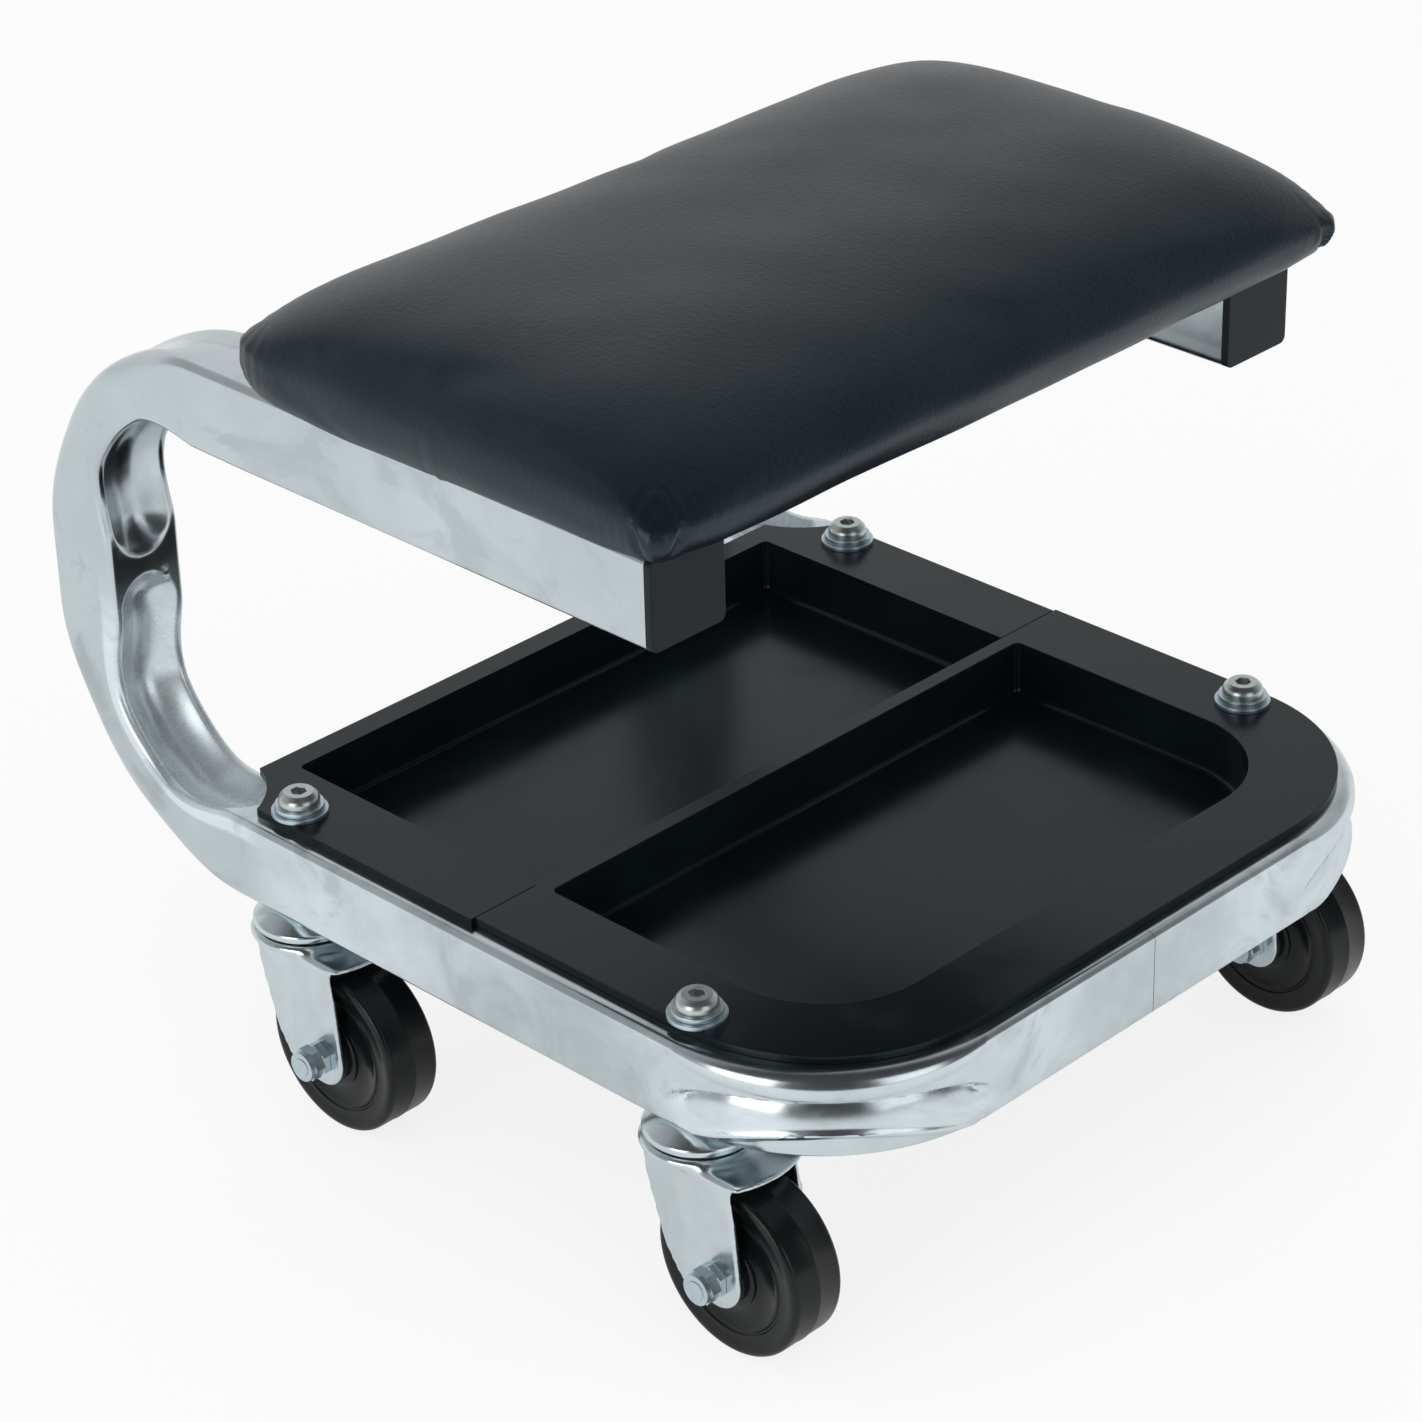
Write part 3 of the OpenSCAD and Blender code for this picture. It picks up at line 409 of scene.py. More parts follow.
def moulded_plastic(name, colour, shine=0.17):
    """Black moulded plastic with a fine spark grain, slightly worn in patches."""
    finish = Finish(name)
    place = finish.place()
    spark = finish.grain(place, 1500, 2, 0.6)
    patches = finish.grain(place, 22, 4, 0.55)
    rubbed = patches.between(0.45, 0.75)
    tone = finish.blend(rubbed, tinted(colour, 0.9), tinted(colour, 1.35))
    rough = shine + 0.08 * rubbed + 0.05 * spark
    relief = finish.bump(spark, 0.14, 0.00012)
    return finish.surface(
        Base_Color=tone, Roughness=rough, Normal=relief, Specular_IOR_Level=0.26,
        Specular_Tint=(0.75, 0.92, 1.0, 1))


def grained_vinyl(colour):
    """Vinyl with a fine leather grain, stretched into faint lines up the sides."""
    finish = Finish("grained_vinyl")
    place = finish.place()
    pebbles = finish.cells(place, 620, "SMOOTH_F1")
    valleys = finish.grain(place, 420, 4, 0.6)
    stretch = finish.grain(finish.place((1, 1, 0.3)), 330, 3, 0.6)
    clouds = finish.grain(place, 18, 3, 0.5)
    tone = finish.blend(clouds, tinted(colour, 0.85), tinted(colour, 1.3))
    rough = 0.30 + 0.10 * valleys + 0.06 * clouds
    relief = finish.bump(pebbles + 0.6 * valleys, 0.35, 0.00025)
    relief = finish.bump(stretch, 0.16, 0.0004, relief)
    return finish.surface(
        Base_Color=tone, Roughness=rough, Normal=relief, Specular_IOR_Level=0.5,
        Specular_Tint=(0.68, 0.88, 1.0, 1))


def moulded_wheel(colour):
    """Hard glossy black, a little cloudy, with fine specks."""
    finish = Finish("moulded_wheel")
    place = finish.place()
    clouds = finish.grain(place, 60, 4, 0.6)
    specks = finish.grain(place, 1200, 2, 0.5)
    tone = finish.blend(clouds, tinted(colour, 0.8), tinted(colour, 1.5))
    rough = 0.18 + 0.12 * clouds + 0.04 * specks
    relief = finish.bump(specks, 0.12, 0.0001)
    return finish.surface(
        Base_Color=tone, Roughness=rough, Normal=relief, Specular_IOR_Level=0.30)


def turned_steel(colour):
    """Plain polished steel of the tray screws, swivel balls and axle sleeves."""
    finish = Finish("turned_steel")
    place = finish.place()
    clouds = finish.grain(place, 240, 3, 0.6)
    tone = finish.blend(clouds, tinted(colour, 0.8), tinted(colour, 1.1))
    return finish.surface(Base_Color=tone, Metallic=1.0, Roughness=0.26 + 0.14 * clouds)


def stained_plywood(colour):
    finish = Finish("stained_plywood")
    fibres = finish.grain(finish.place((0.08, 1, 1)), 260, 4, 0.6)
    tone = finish.blend(fibres, tinted(colour, 0.75), tinted(colour, 1.15))
    rough = 0.65 + 0.15 * fibres
    return finish.surface(Base_Color=tone, Roughness=rough, Normal=finish.bump(fibres, 0.2, 0.0003))


def cut_foam():
    finish = Finish("cut_foam")
    pores = finish.cells(finish.place(), 700)
    tone = finish.blend(pores, (0.62, 0.55, 0.32, 1), (0.78, 0.72, 0.50, 1))
    return finish.surface(Base_Color=tone, Roughness=0.9, Normal=finish.bump(pores, 0.5, 0.0006))


# Plated tubes


def share_in_bend(angle):
    """0 at both ends of a quarter bend and 1 in its middle."""
    return max(0.0, math.sin(2 * angle)) ** 0.6


def limited(value, low, high):
    return max(low, min(high, value))


def smooth_step(value, low, high):
    t = limited((value - low) / (high - low), 0, 1)
    return t * t * (3 - 2 * t)


def dished(t, side, start, end, half_width):
    """Depth share of a round ended dish: 1 on its middle line, 0 at its rim."""
    past = max(start + half_width - t, t - end + half_width, 0.0)
    return max(0.0, 1 - (past ** 2 + side ** 2) / half_width ** 2) ** 1.15


class TubePath:
    """The centre line of the left tube, and where a point of the tube lies along and across it."""

    def __init__(self, sizes):
        half = sizes.tube / 2
        self.half, self.sizes = half, sizes
        self.bend_r, self.corner_r = sizes.bend_radius, sizes.corner_radius
        self.x = plug_low.x + half
        self.arm_z = plug_low.z + half
        self.rail_z = tube_low.z + half
        self.bend_y = tube_high.y - half - self.bend_r
        self.upper_z = self.arm_z - self.bend_r
        self.lower_z = self.rail_z + self.bend_r
        self.corner_x = self.x + self.corner_r
        self.front_y = sizes.front_face + half
        self.corner_y = self.front_y + self.corner_r
        self.bend_l = self.bend_r * math.pi / 2
        self.corner_l = self.corner_r * math.pi / 2
        self.arm_l = self.bend_y - sizes.arm_front
        self.link_l = self.upper_z - self.lower_z
        self.rail_l = self.bend_y - self.corner_y
        self.lower_bend = self.arm_l + self.bend_l + self.link_l
        self.rail_start = self.lower_bend + self.bend_l
        self.corner_start = self.rail_start + self.rail_l

    def locate(self, p):
        """Length along, offset outwards in the bends, offset outwards in plan, kind of bend, its angle."""
        side = self.x - p.x
        if p.x > self.corner_x:
            along = self.corner_start + self.corner_l + p.x - self.corner_x
            return along, self.rail_z - p.z, self.front_y - p.y, "front", 0.0
        if p.z < self.rail_z + 2 * self.half and p.y < self.corner_y:
            reach = Vector((self.corner_x - p.x, self.corner_y - p.y))
            angle = math.atan2(reach.y, reach.x)
            along = self.corner_start + self.corner_r * angle
            return along, self.rail_z - p.z, reach.length - self.corner_r, "corner", angle
        if p.y > self.bend_y and p.z > self.upper_z:
            reach = Vector((p.y - self.bend_y, p.z - self.upper_z))
            angle = math.atan2(reach.x, reach.y)
            along = self.arm_l + self.bend_r * angle
            return along, reach.length - self.bend_r, side, "upper", angle
        if p.y > self.bend_y and p.z < self.lower_z:
            reach = Vector((p.y - self.bend_y, self.lower_z - p.z))
            angle = math.atan2(reach.y, reach.x)
            along = self.lower_bend + self.bend_r * angle
            return along, reach.length - self.bend_r, side, "lower", angle
        if p.y > self.bend_y:
            out = p.y - self.bend_y - self.bend_r
            return self.arm_l + self.bend_l + self.upper_z - p.z, out, side, "link", 0.0
        if p.z > self.upper_z:
            return p.y - self.sizes.arm_front, p.z - self.arm_z, side, "arm", 0.0
        return self.rail_start + self.bend_y - p.y, self.rail_z - p.z, side, "rail", 0.0

    def bend_share(self, along):
        """How far the crushing has set in: 0 at the ends of a bend behind the seat, 1 in its middle."""
        early, onset = 0.006, 0.048
        return max(
            smooth_step(min(t + early, self.bend_l + early - t), 0, onset)
            for t in (along - self.arm_l, along - self.lower_bend))

    def reshaped(self, out, side, kind, k):
        """The section, its outer edges opened in the bends and its crest sharpened in a front corner."""
        r = self.sizes.corner
        if kind == "corner":
            a, b = -out - self.half + r, side - self.half + r
            if a <= 0 or b <= 0:
                return out, side
            grown = 1 + 0.6 * k * (math.hypot(a, b) / max(a, b) - 1)
            return -(a * grown + self.half - r), b * grown + self.half - r
        wide = r + k * (self.sizes.bend_corner - r)
        a, b = out - self.half + wide, abs(side) - self.half + wide
        if a <= 0 or b <= 0:
            return out, side
        shrunk = wide / math.hypot(a, b)
        return a * shrunk + self.half - wide, math.copysign(b * shrunk + self.half - wide, side)

    def inner_dish(self, along, side):
        """Depth of the two dishes in the inner wall, which part at a saddle on the link."""
        bend, link = self.bend_l, self.link_l
        inner_bend = bend * (1 - self.half / self.bend_r)
        s = along - self.arm_l
        t = inner_bend * (limited(s / bend, 0, 1) + limited((s - bend - link) / bend, 0, 1))
        t += limited(s - bend, 0, link) + max(0, s - 2 * bend - link)
        split, saddle, half_width = inner_bend + 0.39 * link, 0.0045, 0.78 * self.half
        upper = dished(t, side, 0.008, split - saddle, half_width)
        lower = dished(t, side, split + saddle, 2 * inner_bend + link + 0.0075, half_width)
        blister = math.exp(-((t - split - 0.009) ** 2 + (side + 0.0085) ** 2) / 0.0026 ** 2)
        return self.sizes.dish * (0.9 * upper + lower) - 0.0016 * blister

    def corner_fold(self, along, down):
        """How far a front corner's outer wall stands out: crest, a long dish below it, a bead and a toe."""
        outer = self.corner_r + self.half
        length = outer * math.pi / 2
        s = along - self.corner_start
        if s > self.corner_l:
            s += length - self.corner_l
        elif s > 0:
            s *= length / self.corner_l
        s = min(s, length - s)  # from the nearer end of the bend
        k = share_in_bend(limited(s / outer, 0, math.pi / 4))
        early = 0.006
        past = s + early
        if past < 0:
            return 0.0
        top = 0.13 + 0.62 * math.exp(-past / 0.018)
        foot = min(1 - 0.39 * k ** 2.2, 0.75 + 0.22 * limited(past / 0.012, 0, 1) ** 0.6)
        q = (down - top) / max(foot - top, 0.05)
        fold = 0.0
        if 0 < q < 1:
            depth = self.sizes.corner_dish * smooth_step(past, 0, 0.014) * (1 - 0.1 * k)
            edge = smooth_step(q, 0, 0.12)
            fold -= depth * edge * (1 - limited((q - 0.08) / 0.92, 0, 1) ** 0.5)
        fold += 0.0012 * k * (1 - smooth_step(down, 0.06, 0.14))
        fold += 0.0008 * k * math.exp(-((down - foot) / 0.035) ** 2)
        if q > 1:
            toe = 0.0028 * (down - foot) / (1 - foot + 0.001)
            fold -= k * (0.0006 * smooth_step(down - foot, 0.03, 0.08) + toe)
        return fold

    def dent(self, p):
        """Where a point of the straight sided tube ends up once the bends are crushed."""
        along, out, side, kind, angle = self.locate(p)
        spread, outwards = self.axes(kind, angle)
        start, reach = self.corner_start, 0.01
        if start - reach < along < start + self.corner_l + reach:
            k = share_in_bend(angle) if kind == "corner" else 0.0
            new_out, new_side = self.reshaped(out, side, "corner", k)
            down = limited((new_out / self.half + 1) / 2, 0, 1)
            folded = 0.29
            near = limited((new_side / self.half - 1 + folded) / folded, 0, 1)
            fold = self.corner_fold(along, down)
            new_out += k * (1 - math.sqrt(1 - near ** 2)) * self.sizes.ridge_drop * (1 - down)
            new_side += near ** 2 * fold
        elif along < start:
            k = self.bend_share(along)
            new_out, new_side = self.reshaped(out, side, kind, k)
            v = limited(new_side / self.half, -1, 1)
            inner = limited(-new_out / self.half / 0.8, 0, 1)
            outer = limited(new_out / self.half / 0.8, 0, 1)
            hollow = self.inner_dish(along, side) if inner else 0.0
            sink = self.sizes.outer_sink * math.cos(v * math.pi / 2) ** 2
            ripple = 0.0008 * noise.noise(Vector((along * 34, out * 45, 2 if side > 0 else 5)))
            new_out += inner * (k * self.sizes.lip_crush + hollow) - outer * k * sink
            new_side += k * ripple * smooth_step(abs(v), 0.7, 1) * (1 - outer)
        else:
            return p
        return p + outwards * (new_out - out) + spread * (new_side - side)

    def axes(self, kind, angle):
        """The directions towards the outside of the tube's side and of its bends."""
        s, c = math.sin(angle), math.cos(angle)
        if kind == "corner":
            return Vector((-c, -s, 0)), Vector((0, 0, -1))
        bends = {"upper": (0, s, c), "lower": (0, c, -s), "arm": (0, 0, 1), "link": (0, 1, 0)}
        side = (0, -1, 0) if kind == "front" else (-1, 0, 0)
        return Vector(side), Vector(bends.get(kind, (0, 0, -1)))


def extrude_loop(shift, steps):
    for _ in range(steps):
        bpy.ops.mesh.extrude_edges_move(TRANSFORM_OT_translate={"value": tuple(c / steps for c in shift)})


def spin_loop(centre, axis, steps):
    bpy.ops.mesh.spin(steps=steps, angle=math.pi / 2, center=centre, axis=axis)


def model_left_tube(sizes):
    """A rounded square drawn along the arm, round both bends, along the rail and round the front corner."""
    path = TubePath(sizes)
    after_bend, by_corner = 0.012, 0.010
    only()
    bpy.ops.mesh.primitive_plane_add(
        size=sizes.tube, location=(path.x, sizes.arm_front, path.arm_z), rotation=(math.pi / 2, 0, 0))
    tube = bpy.context.object
    tube.name = "left_tube"
    bpy.ops.object.transform_apply(location=True, rotation=True, scale=True)
    edit(tube)
    pick_all()
    bpy.ops.mesh.bevel(offset=sizes.corner, segments=8, affect="VERTICES")
    bpy.ops.mesh.select_mode(type="EDGE")
    pick("edges", lambda e: e.calc_length() > sizes.tube / 2)
    bpy.ops.mesh.subdivide(number_cuts=31)
    pick_all()
    bpy.ops.mesh.delete(type="ONLY_FACE")
    pick_all()
    extrude_loop((0, path.bend_y - sizes.arm_front, 0), 8)
    spin_loop((path.x, path.bend_y, path.upper_z), (1, 0, 0), 64)
    extrude_loop((0, 0, path.lower_z - path.upper_z), 24)
    spin_loop((path.x, path.bend_y, path.lower_z), (1, 0, 0), 64)
    extrude_loop((0, -after_bend, 0), 6)
    extrude_loop((0, path.corner_y - path.bend_y + after_bend + by_corner, 0), 8)
    extrude_loop((0, -by_corner, 0), 6)
    spin_loop((path.corner_x, path.corner_y, path.rail_z), (0, 0, -1), 72)
    extrude_loop((by_corner, 0, 0), 6)
    extrude_loop((-sizes.butt_gap / 2 - path.corner_x - by_corner, 0, 0), 4)
    done()
    face_outwards(tube)
    straightened = tube.data.attributes.new("straightened", "FLOAT_VECTOR", "POINT")
    for vertex in tube.data.vertices:
        along, out, side, _, _ = path.locate(vertex.co)
        straightened.data[vertex.index].vector = (along, out, side)
    for vertex in tube.data.vertices:
        vertex.co = path.dent(vertex.co)
    modify(tube, "SOLIDIFY", thickness=sizes.wall, offset=-1, use_even_offset=True)
    smooth(tube, 50)
    return tube


class CREEPER_OT_frame_tubes(bpy.types.Operator):
    """Bend the two plated tubes and crush their bends"""
    bl_idname = "creeper.frame_tubes"
    bl_label = "Frame Tubes"

    def execute(self, context):
        scene = context.scene
        finish = plated_tube(scene.creeper_finishes.plating, TubePath(scene.creeper_frame))
        left = model_left_tube(scene.creeper_frame)
        right = copied(left, "right_tube", Matrix.Scale(-1, 4, (1, 0, 0)))
        right.data.flip_normals()
        for vertex in right.data.vertices:
            p = vertex.co
            p.z -= scene.creeper_frame.far_sag * smooth_step(p.y, 0.05, 0.15) * smooth_step(p.z, 0.24, 0.32)
        set_in(left, "frame_tube_left", "frame", "frame_chrome", finish)
        set_in(right, "frame_tube_right", "frame", "frame_chrome", finish)
        return {"FINISHED"}


class CREEPER_OT_arm_plugs(bpy.types.Operator):
    """Round the black plugs in the arms' front ends"""
    bl_idname = "creeper.arm_plugs"
    bl_label = "Arm Plugs"

    def execute(self, context):
        finish = moulded_plastic("plug_plastic", context.scene.creeper_finishes.tray, 0.42)
        for side in ("left", "right"):
            plug = traced("arm_plug_" + side, side + "_plug")
            soften(plug, 0.0007)
            set_in(plug, "arm_plug_" + side, "frame", "black_plastic", finish)
        return {"FINISHED"}


# Trays


def round_tray(node, name):
    """A packed tray with the rounded rim, floor and outer edges of a moulding."""
    tray = traced(node, name)
    floor_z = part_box(node)[0].z + 0.0025

    def at_floor(edge):
        level = all(abs(v.co.z - floor_z) < 2e-5 for v in edge.verts)
        return level and len(edge.link_faces) == 2 and edge.calc_face_angle(0) > 0.9

    edit(tray, "EDGE")
    pick("edges", at_floor)
    bpy.ops.mesh.bevel(offset=0.0035, segments=4, affect="EDGES", clamp_overlap=True)
    done()
    soften(tray, 0.0014, 3)
    return tray


class CREEPER_OT_trays(bpy.types.Operator):
    """Round the two moulded trays"""
    bl_idname = "creeper.trays"
    bl_label = "Trays"

    def execute(self, context):
        finish = moulded_plastic("tray_plastic", context.scene.creeper_finishes.tray)
        for node in ("rear_tray", "front_tray"):
            set_in(round_tray(node, node + "_moulding"), node, "frame", "tray_plastic", finish)
        return {"FINISHED"}


def widen_heads(screws):
    """Widens the domes of the screws' heads to flat tops with a chamfer round them."""
    low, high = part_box("tray_screws")
    rim, height, rim_h, flat = 0.00875, 0.0055, 0.001, 0.0062
    for vertex in screws.data.vertices:
        p = vertex.co
        share = (p.z - high.z + height - rim_h) / (height - rim_h)
        centre_x = low.x + rim if p.x < 0 else high.x - rim
        centre_y = low.y + rim if p.y < (low.y + high.y) / 2 else high.y - rim
        reach = Vector((p.x - centre_x, p.y - centre_y))
        if share > 0.01 and reach.length > 0.0045:
            reach = reach.normalized() * (flat + (rim - flat) * (1 - share ** 2.5))
            p.x, p.y = centre_x + reach.x, centre_y + reach.y


class CREEPER_OT_tray_fasteners(bpy.types.Operator):
    """Round and finish the tray screws and their washers"""
    bl_idname = "creeper.tray_fasteners"
    bl_label = "Tray Fasteners"

    def execute(self, context):
        finishes = context.scene.creeper_finishes
        zinc = zinc_plate("washer_zinc", finishes.zinc, 1.6, 0.24)
        steel = turned_steel(finishes.steel)
        for node, width, slot, finish in (
                ("tray_screws", 0.0003, "bright_steel", steel),
                ("tray_lock_washers", 0.0004, "zinc_plate", zinc),
                ("tray_flat_washers", 0.0003, "zinc_plate", zinc)):
            piece = traced(node, node + "_rounded")
            if node == "tray_screws":
                widen_heads(piece)
            soften(piece, width)
            set_in(piece, node, "frame", slot, finish)
        return {"FINISHED"}


# Cushion


def crown_share(u, v):
    """Share of the crown's height at u of the half length and v of the half depth: full in the middle."""
    along = max(0.0, 1 - abs(u) ** 6.61) ** 0.367
    across = max(0.0, 1 - abs(v) ** (2.75 if v < 0 else 3.42)) ** 0.577
    return along * across


def cover_plan():
    """Half the cover's length, half its depth, and the place of its middle along Y."""
    low, high = cover_low, cover_high
    return (high.x - low.x) / 2, (high.y - low.y) / 2, (high.y + low.y) / 2


def model_cover(sizes):
    """One sheet from the hem's inner edge up the sides and over the crown, shaped from a grid."""
    only()
    bpy.ops.mesh.primitive_grid_add(x_subdivisions=104, y_subdivisions=76, size=2)
    cover = bpy.context.object
    cover.name = "cushion_cover"
    half_x, half_y, centre_y = cover_plan()
    belt_z = cover_low.z + sizes.belt
    hem_share, edge_share, belt_share = 1.0, 0.93, 0.84
    pinned = cover.vertex_groups.new(name="pinned")
    corners = cover.vertex_groups.new(name="corners")
    for vertex in cover.data.vertices:
        s, t = (c * (1.6 - 0.6 * abs(c)) for c in vertex.co.xy)  # closer lines towards the sides
        m = max(abs(s), abs(t))
        if m < 1e-6:
            vertex.co = (sizes.offset, centre_y, belt_z + sizes.crown)
            continue
        a, b = s / m, t / m
        power = 12 if a < 0 < b else 38  # the rear left corner is rounder
        k = (abs(a) ** power + abs(b) ** power) ** (1 / power)
        a, b = a / k, b / k
        if m <= belt_share:
            share = math.sin(m / belt_share * math.pi / 2) ** 0.92
            x, y = half_x * share * a, half_y * share * b
            z = belt_z + sizes.crown * crown_share(share * a, share * b)
        else:
            fall = min(1.0, (m - belt_share) / (edge_share - belt_share))
            drawn = sizes.draw_in * (1 - math.cos(fall * math.pi / 2)) ** 1.2
            drawn_y = drawn * (0.4 if b > 0 else 1.0)
            if b < 0:  # the front side draws in between its corners
                drawn_y += 0.0024 * max(0.0, 1 - (half_x * a / 0.17) ** 2) * min(1.0, 1.5 * fall)
            under = max(0.0, (m - edge_share) / (hem_share - edge_share)) * sizes.hem
            x = (half_x - drawn - under) * a
            y = (half_y - drawn_y - under) * b
            z = belt_z - sizes.belt * math.sin(fall * math.pi / 2)
            if fall >= 1:
                pinned.add([vertex.index], 1.0, "REPLACE")
        z -= 0.0018 * smooth_step(x, 0.75 * half_x, half_x) * smooth_step(-y, 0.6 * half_y, half_y)
        away = math.hypot(half_x - abs(x), half_y - abs(y))
        if m <= edge_share:
            corners.add([vertex.index], 1 - smooth_step(away, 0.012, 0.040), "REPLACE")
        vertex.co = (x + sizes.offset, centre_y + y, z)
    modify(cover, "SMOOTH", factor=0.5, iterations=30, vertex_group="corners")
    face_outwards(cover)
    return cover


def settle_cover(cover, sizes):
    """Lets the foam's pressure swell the cover in a cloth simulation, within a limit."""
    rest = [v.co.copy() for v in cover.data.vertices]
    only(cover)
    modifier = cover.modifiers.new("Cloth", "CLOTH")
    cloth = modifier.settings
    cloth.quality = 6
    cloth.mass = 0.4
    cloth.tension_stiffness = 40
    cloth.compression_stiffness = 40
    cloth.bending_stiffness = 2.0
    cloth.vertex_group_mass = "pinned"
    cloth.use_pressure = True
    cloth.uniform_pressure_force = sizes.pressure
    cloth.effector_weights.gravity = 0
    modifier.collision_settings.use_collision = False
    scene = bpy.context.scene
    for step in range(1, 21):
        scene.frame_set(step)
    bpy.ops.object.modifier_apply(modifier=modifier.name)
    scene.frame_set(1)
    for vertex, start in zip(cover.data.vertices, rest):
        shift = vertex.co - start
        if shift.length > sizes.swell:
            vertex.co = start + shift.normalized() * sizes.swell


def pleat_depth(along, height):
    """How far a corner's pleat sinks in: along a side from the corner, and above the underside."""
    pleat_height = 0.019
    rise = height / pleat_height
    if not 0 <= rise < 1:
        return 0.0
    line = 0.0100 + 0.0065 * rise + 0.0008 * math.sin(rise * 6)
    groove = math.exp(-((along - line) / (0.0012 + 0.0005 * rise)) ** 2)
    swell = math.exp(-((along - line + 0.0032) / 0.0024) ** 2)
    return (groove - 0.42 * swell) * (1 - rise) ** 0.6 * min(1.0, 0.35 + 3 * rise)


def pleat_cover(cover, sizes):
    """Folds a pleat into the vinyl on each side of every corner and pulls wrinkles up from it."""
    half_x, half_y, centre_y = cover_plan()
    crease_y, crease_width = -0.031, 0.0016
    normals = [v.normal.copy() for v in cover.data.vertices]
    for vertex, normal in zip(cover.data.vertices, normals):
        p = vertex.co
        height = p.z - cover_low.z
        from_side = half_x - abs(p.x - sizes.offset)
        from_end = half_y - abs(p.y - centre_y)
        along = max(from_side, from_end)
        shift = 0.0006 * noise.noise(Vector((p.x * 26, p.y * 26, p.z * 60)))
        if min(from_side, from_end) < 0.016 and along < 0.07:
            tight = 0.6 if p.y > centre_y else 1.0
            shift -= tight * sizes.pleat * pleat_depth(along, height)
            between_pleats = 1 - smooth_step(along, 0.008, 0.012)
            shift -= 0.0035 * tight * between_pleats * max(0.0, 1 - height / 0.009) ** 2
            shift += 0.0012 * tight * between_pleats * math.exp(-((height - 0.012) / 0.004) ** 2)
            fan = math.sin(along * 1150 + 9 * noise.noise(p * 30)) * smooth_step(0.045 - height, 0, 0.03)
            shift += 0.00022 * fan * smooth_step(0.05 - along, 0, 0.03) * smooth_step(height, 0.004, 0.014)
        crease = (p.y - crease_y) / crease_width
        if p.x < 0 and from_side < 0.02 and abs(crease) < 4:
            shift -= 0.0009 * crease * math.exp(-crease ** 2) * smooth_step(0.026 - height, 0, 0.012)
        vertex.co += normal * shift


class CREEPER_OT_cushion(bpy.types.Operator):
    """Shape, swell and pleat the cushion's vinyl cover"""
    bl_idname = "creeper.cushion"
    bl_label = "Cushion"

    def execute(self, context):
        scene = context.scene
        sizes = scene.creeper_seat
        cover = model_cover(sizes)
        settle_cover(cover, sizes)
        modify(cover, "SUBSURF", levels=1, render_levels=1)
        pleat_cover(cover, sizes)
        modify(cover, "SOLIDIFY", thickness=sizes.vinyl, offset=-1, use_even_offset=True)
        smooth(cover, 60)
        set_in(cover, "seat_cover", "frame", "vinyl", grained_vinyl(scene.creeper_finishes.vinyl))
        return {"FINISHED"}


class CREEPER_OT_seat_fixings(bpy.types.Operator):
    """Finish the board, foam, bolts and staples under the cushion"""
    bl_idname = "creeper.seat_fixings"
    bl_label = "Seat Fixings"

    def execute(self, context):
        finishes = context.scene.creeper_finishes
        zinc = zinc_plate("fixing_zinc", finishes.zinc, 1.3)
        finish_node("seat_board", stained_plywood(finishes.board))
        for node in (
                "seat_bolts", "seat_bolt_washers", "seat_tee_nuts", "cover_staples", "joiner_sleeve",
                "joiner_screws"):
            finish_node(node, zinc)
        foam = traced("seat_foam", "foam_block")
        low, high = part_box("seat_foam")
        base = Vector(((low.x + high.x) / 2, (low.y + high.y) / 2, low.z))
        shrunk = Matrix.Diagonal((0.955, 0.925, 0.80, 1))  # clear of the cover's drawn in corners
        offset = Vector((context.scene.creeper_seat.offset, 0, 0))
        foam.data.transform(Matrix.Translation(base + offset) @ shrunk @ Matrix.Translation(-base))
        smooth(foam, 40)
        set_in(foam, "seat_foam", "frame", "foam", cut_foam())
        return {"FINISHED"}


def finish_node(node, finish):
    """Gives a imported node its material, its mesh left as it is."""
    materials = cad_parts[node].data.materials
    materials.clear()
    materials.append(finish)


# Casters


def lathe(name, profile, centre, steps=96):
    """Spins a closed profile of (radius, x) points about an X axis through a centre."""
    only()
    first = Vector((profile[0][1], 0, profile[0][0])) + centre
    bpy.ops.mesh.primitive_plane_add(size=0.001, location=first)
    piece = bpy.context.object
    piece.name = name
    bpy.ops.object.transform_apply(location=True, rotation=True, scale=True)
    edit(piece)
    pick_all()
    bpy.ops.mesh.merge(type="CENTER")
    pick_all()
    for (r0, x0), (r1, x1) in zip(profile, profile[1:] + profile[:1]):
        bpy.ops.mesh.extrude_vertices_move(TRANSFORM_OT_translate={"value": (x1 - x0, 0, r1 - r0)})
    pick_all()
    bpy.ops.mesh.remove_doubles(threshold=1e-6)
    pick_all()
    bpy.ops.mesh.spin(steps=steps, angle=2 * math.pi, center=centre, axis=(1, 0, 0))
    done()
    face_outwards(piece)
    return piece


def arc(radius, x, r, start, end, steps):
    """Points (radius, x) along an arc of radius r, from one angle to another in degrees."""
    turns = [math.radians(start + (end - start) * i / steps) for i in range(steps + 1)]
    return [(radius + r * math.sin(a), x + r * math.cos(a)) for a in turns]


def wheel_profile(radius, half_width, hub_x):
    """Half of a wheel's section from the bore out to the tread, then its mirror image."""
    face = half_width - 0.0006
    half = [
        (0.00606, hub_x), (0.0118, hub_x), (0.0125, hub_x - 0.0006), (0.0125, face + 0.0016),
        (0.0149, face + 0.0016), (0.0155, face + 0.0011), (0.0155, face - 0.0004), (0.0163, face - 0.0008),
        (0.0240, face - 0.0008), (0.0248, face - 0.0002), (0.0264, face), (0.0270, face - 0.0007),
        (0.0277, face - 0.0007), (0.0283, face), (radius - 0.0058, face),
        (radius - 0.0046, face + 0.0005)]
    half += arc(radius - 0.0025, half_width - 0.0025, 0.0025, 0, 90, 6)
    half += [(radius, 0.0009), (radius + 0.00022, 0.0004)]
    return half + [(r, -x) for r, x in reversed(half)]


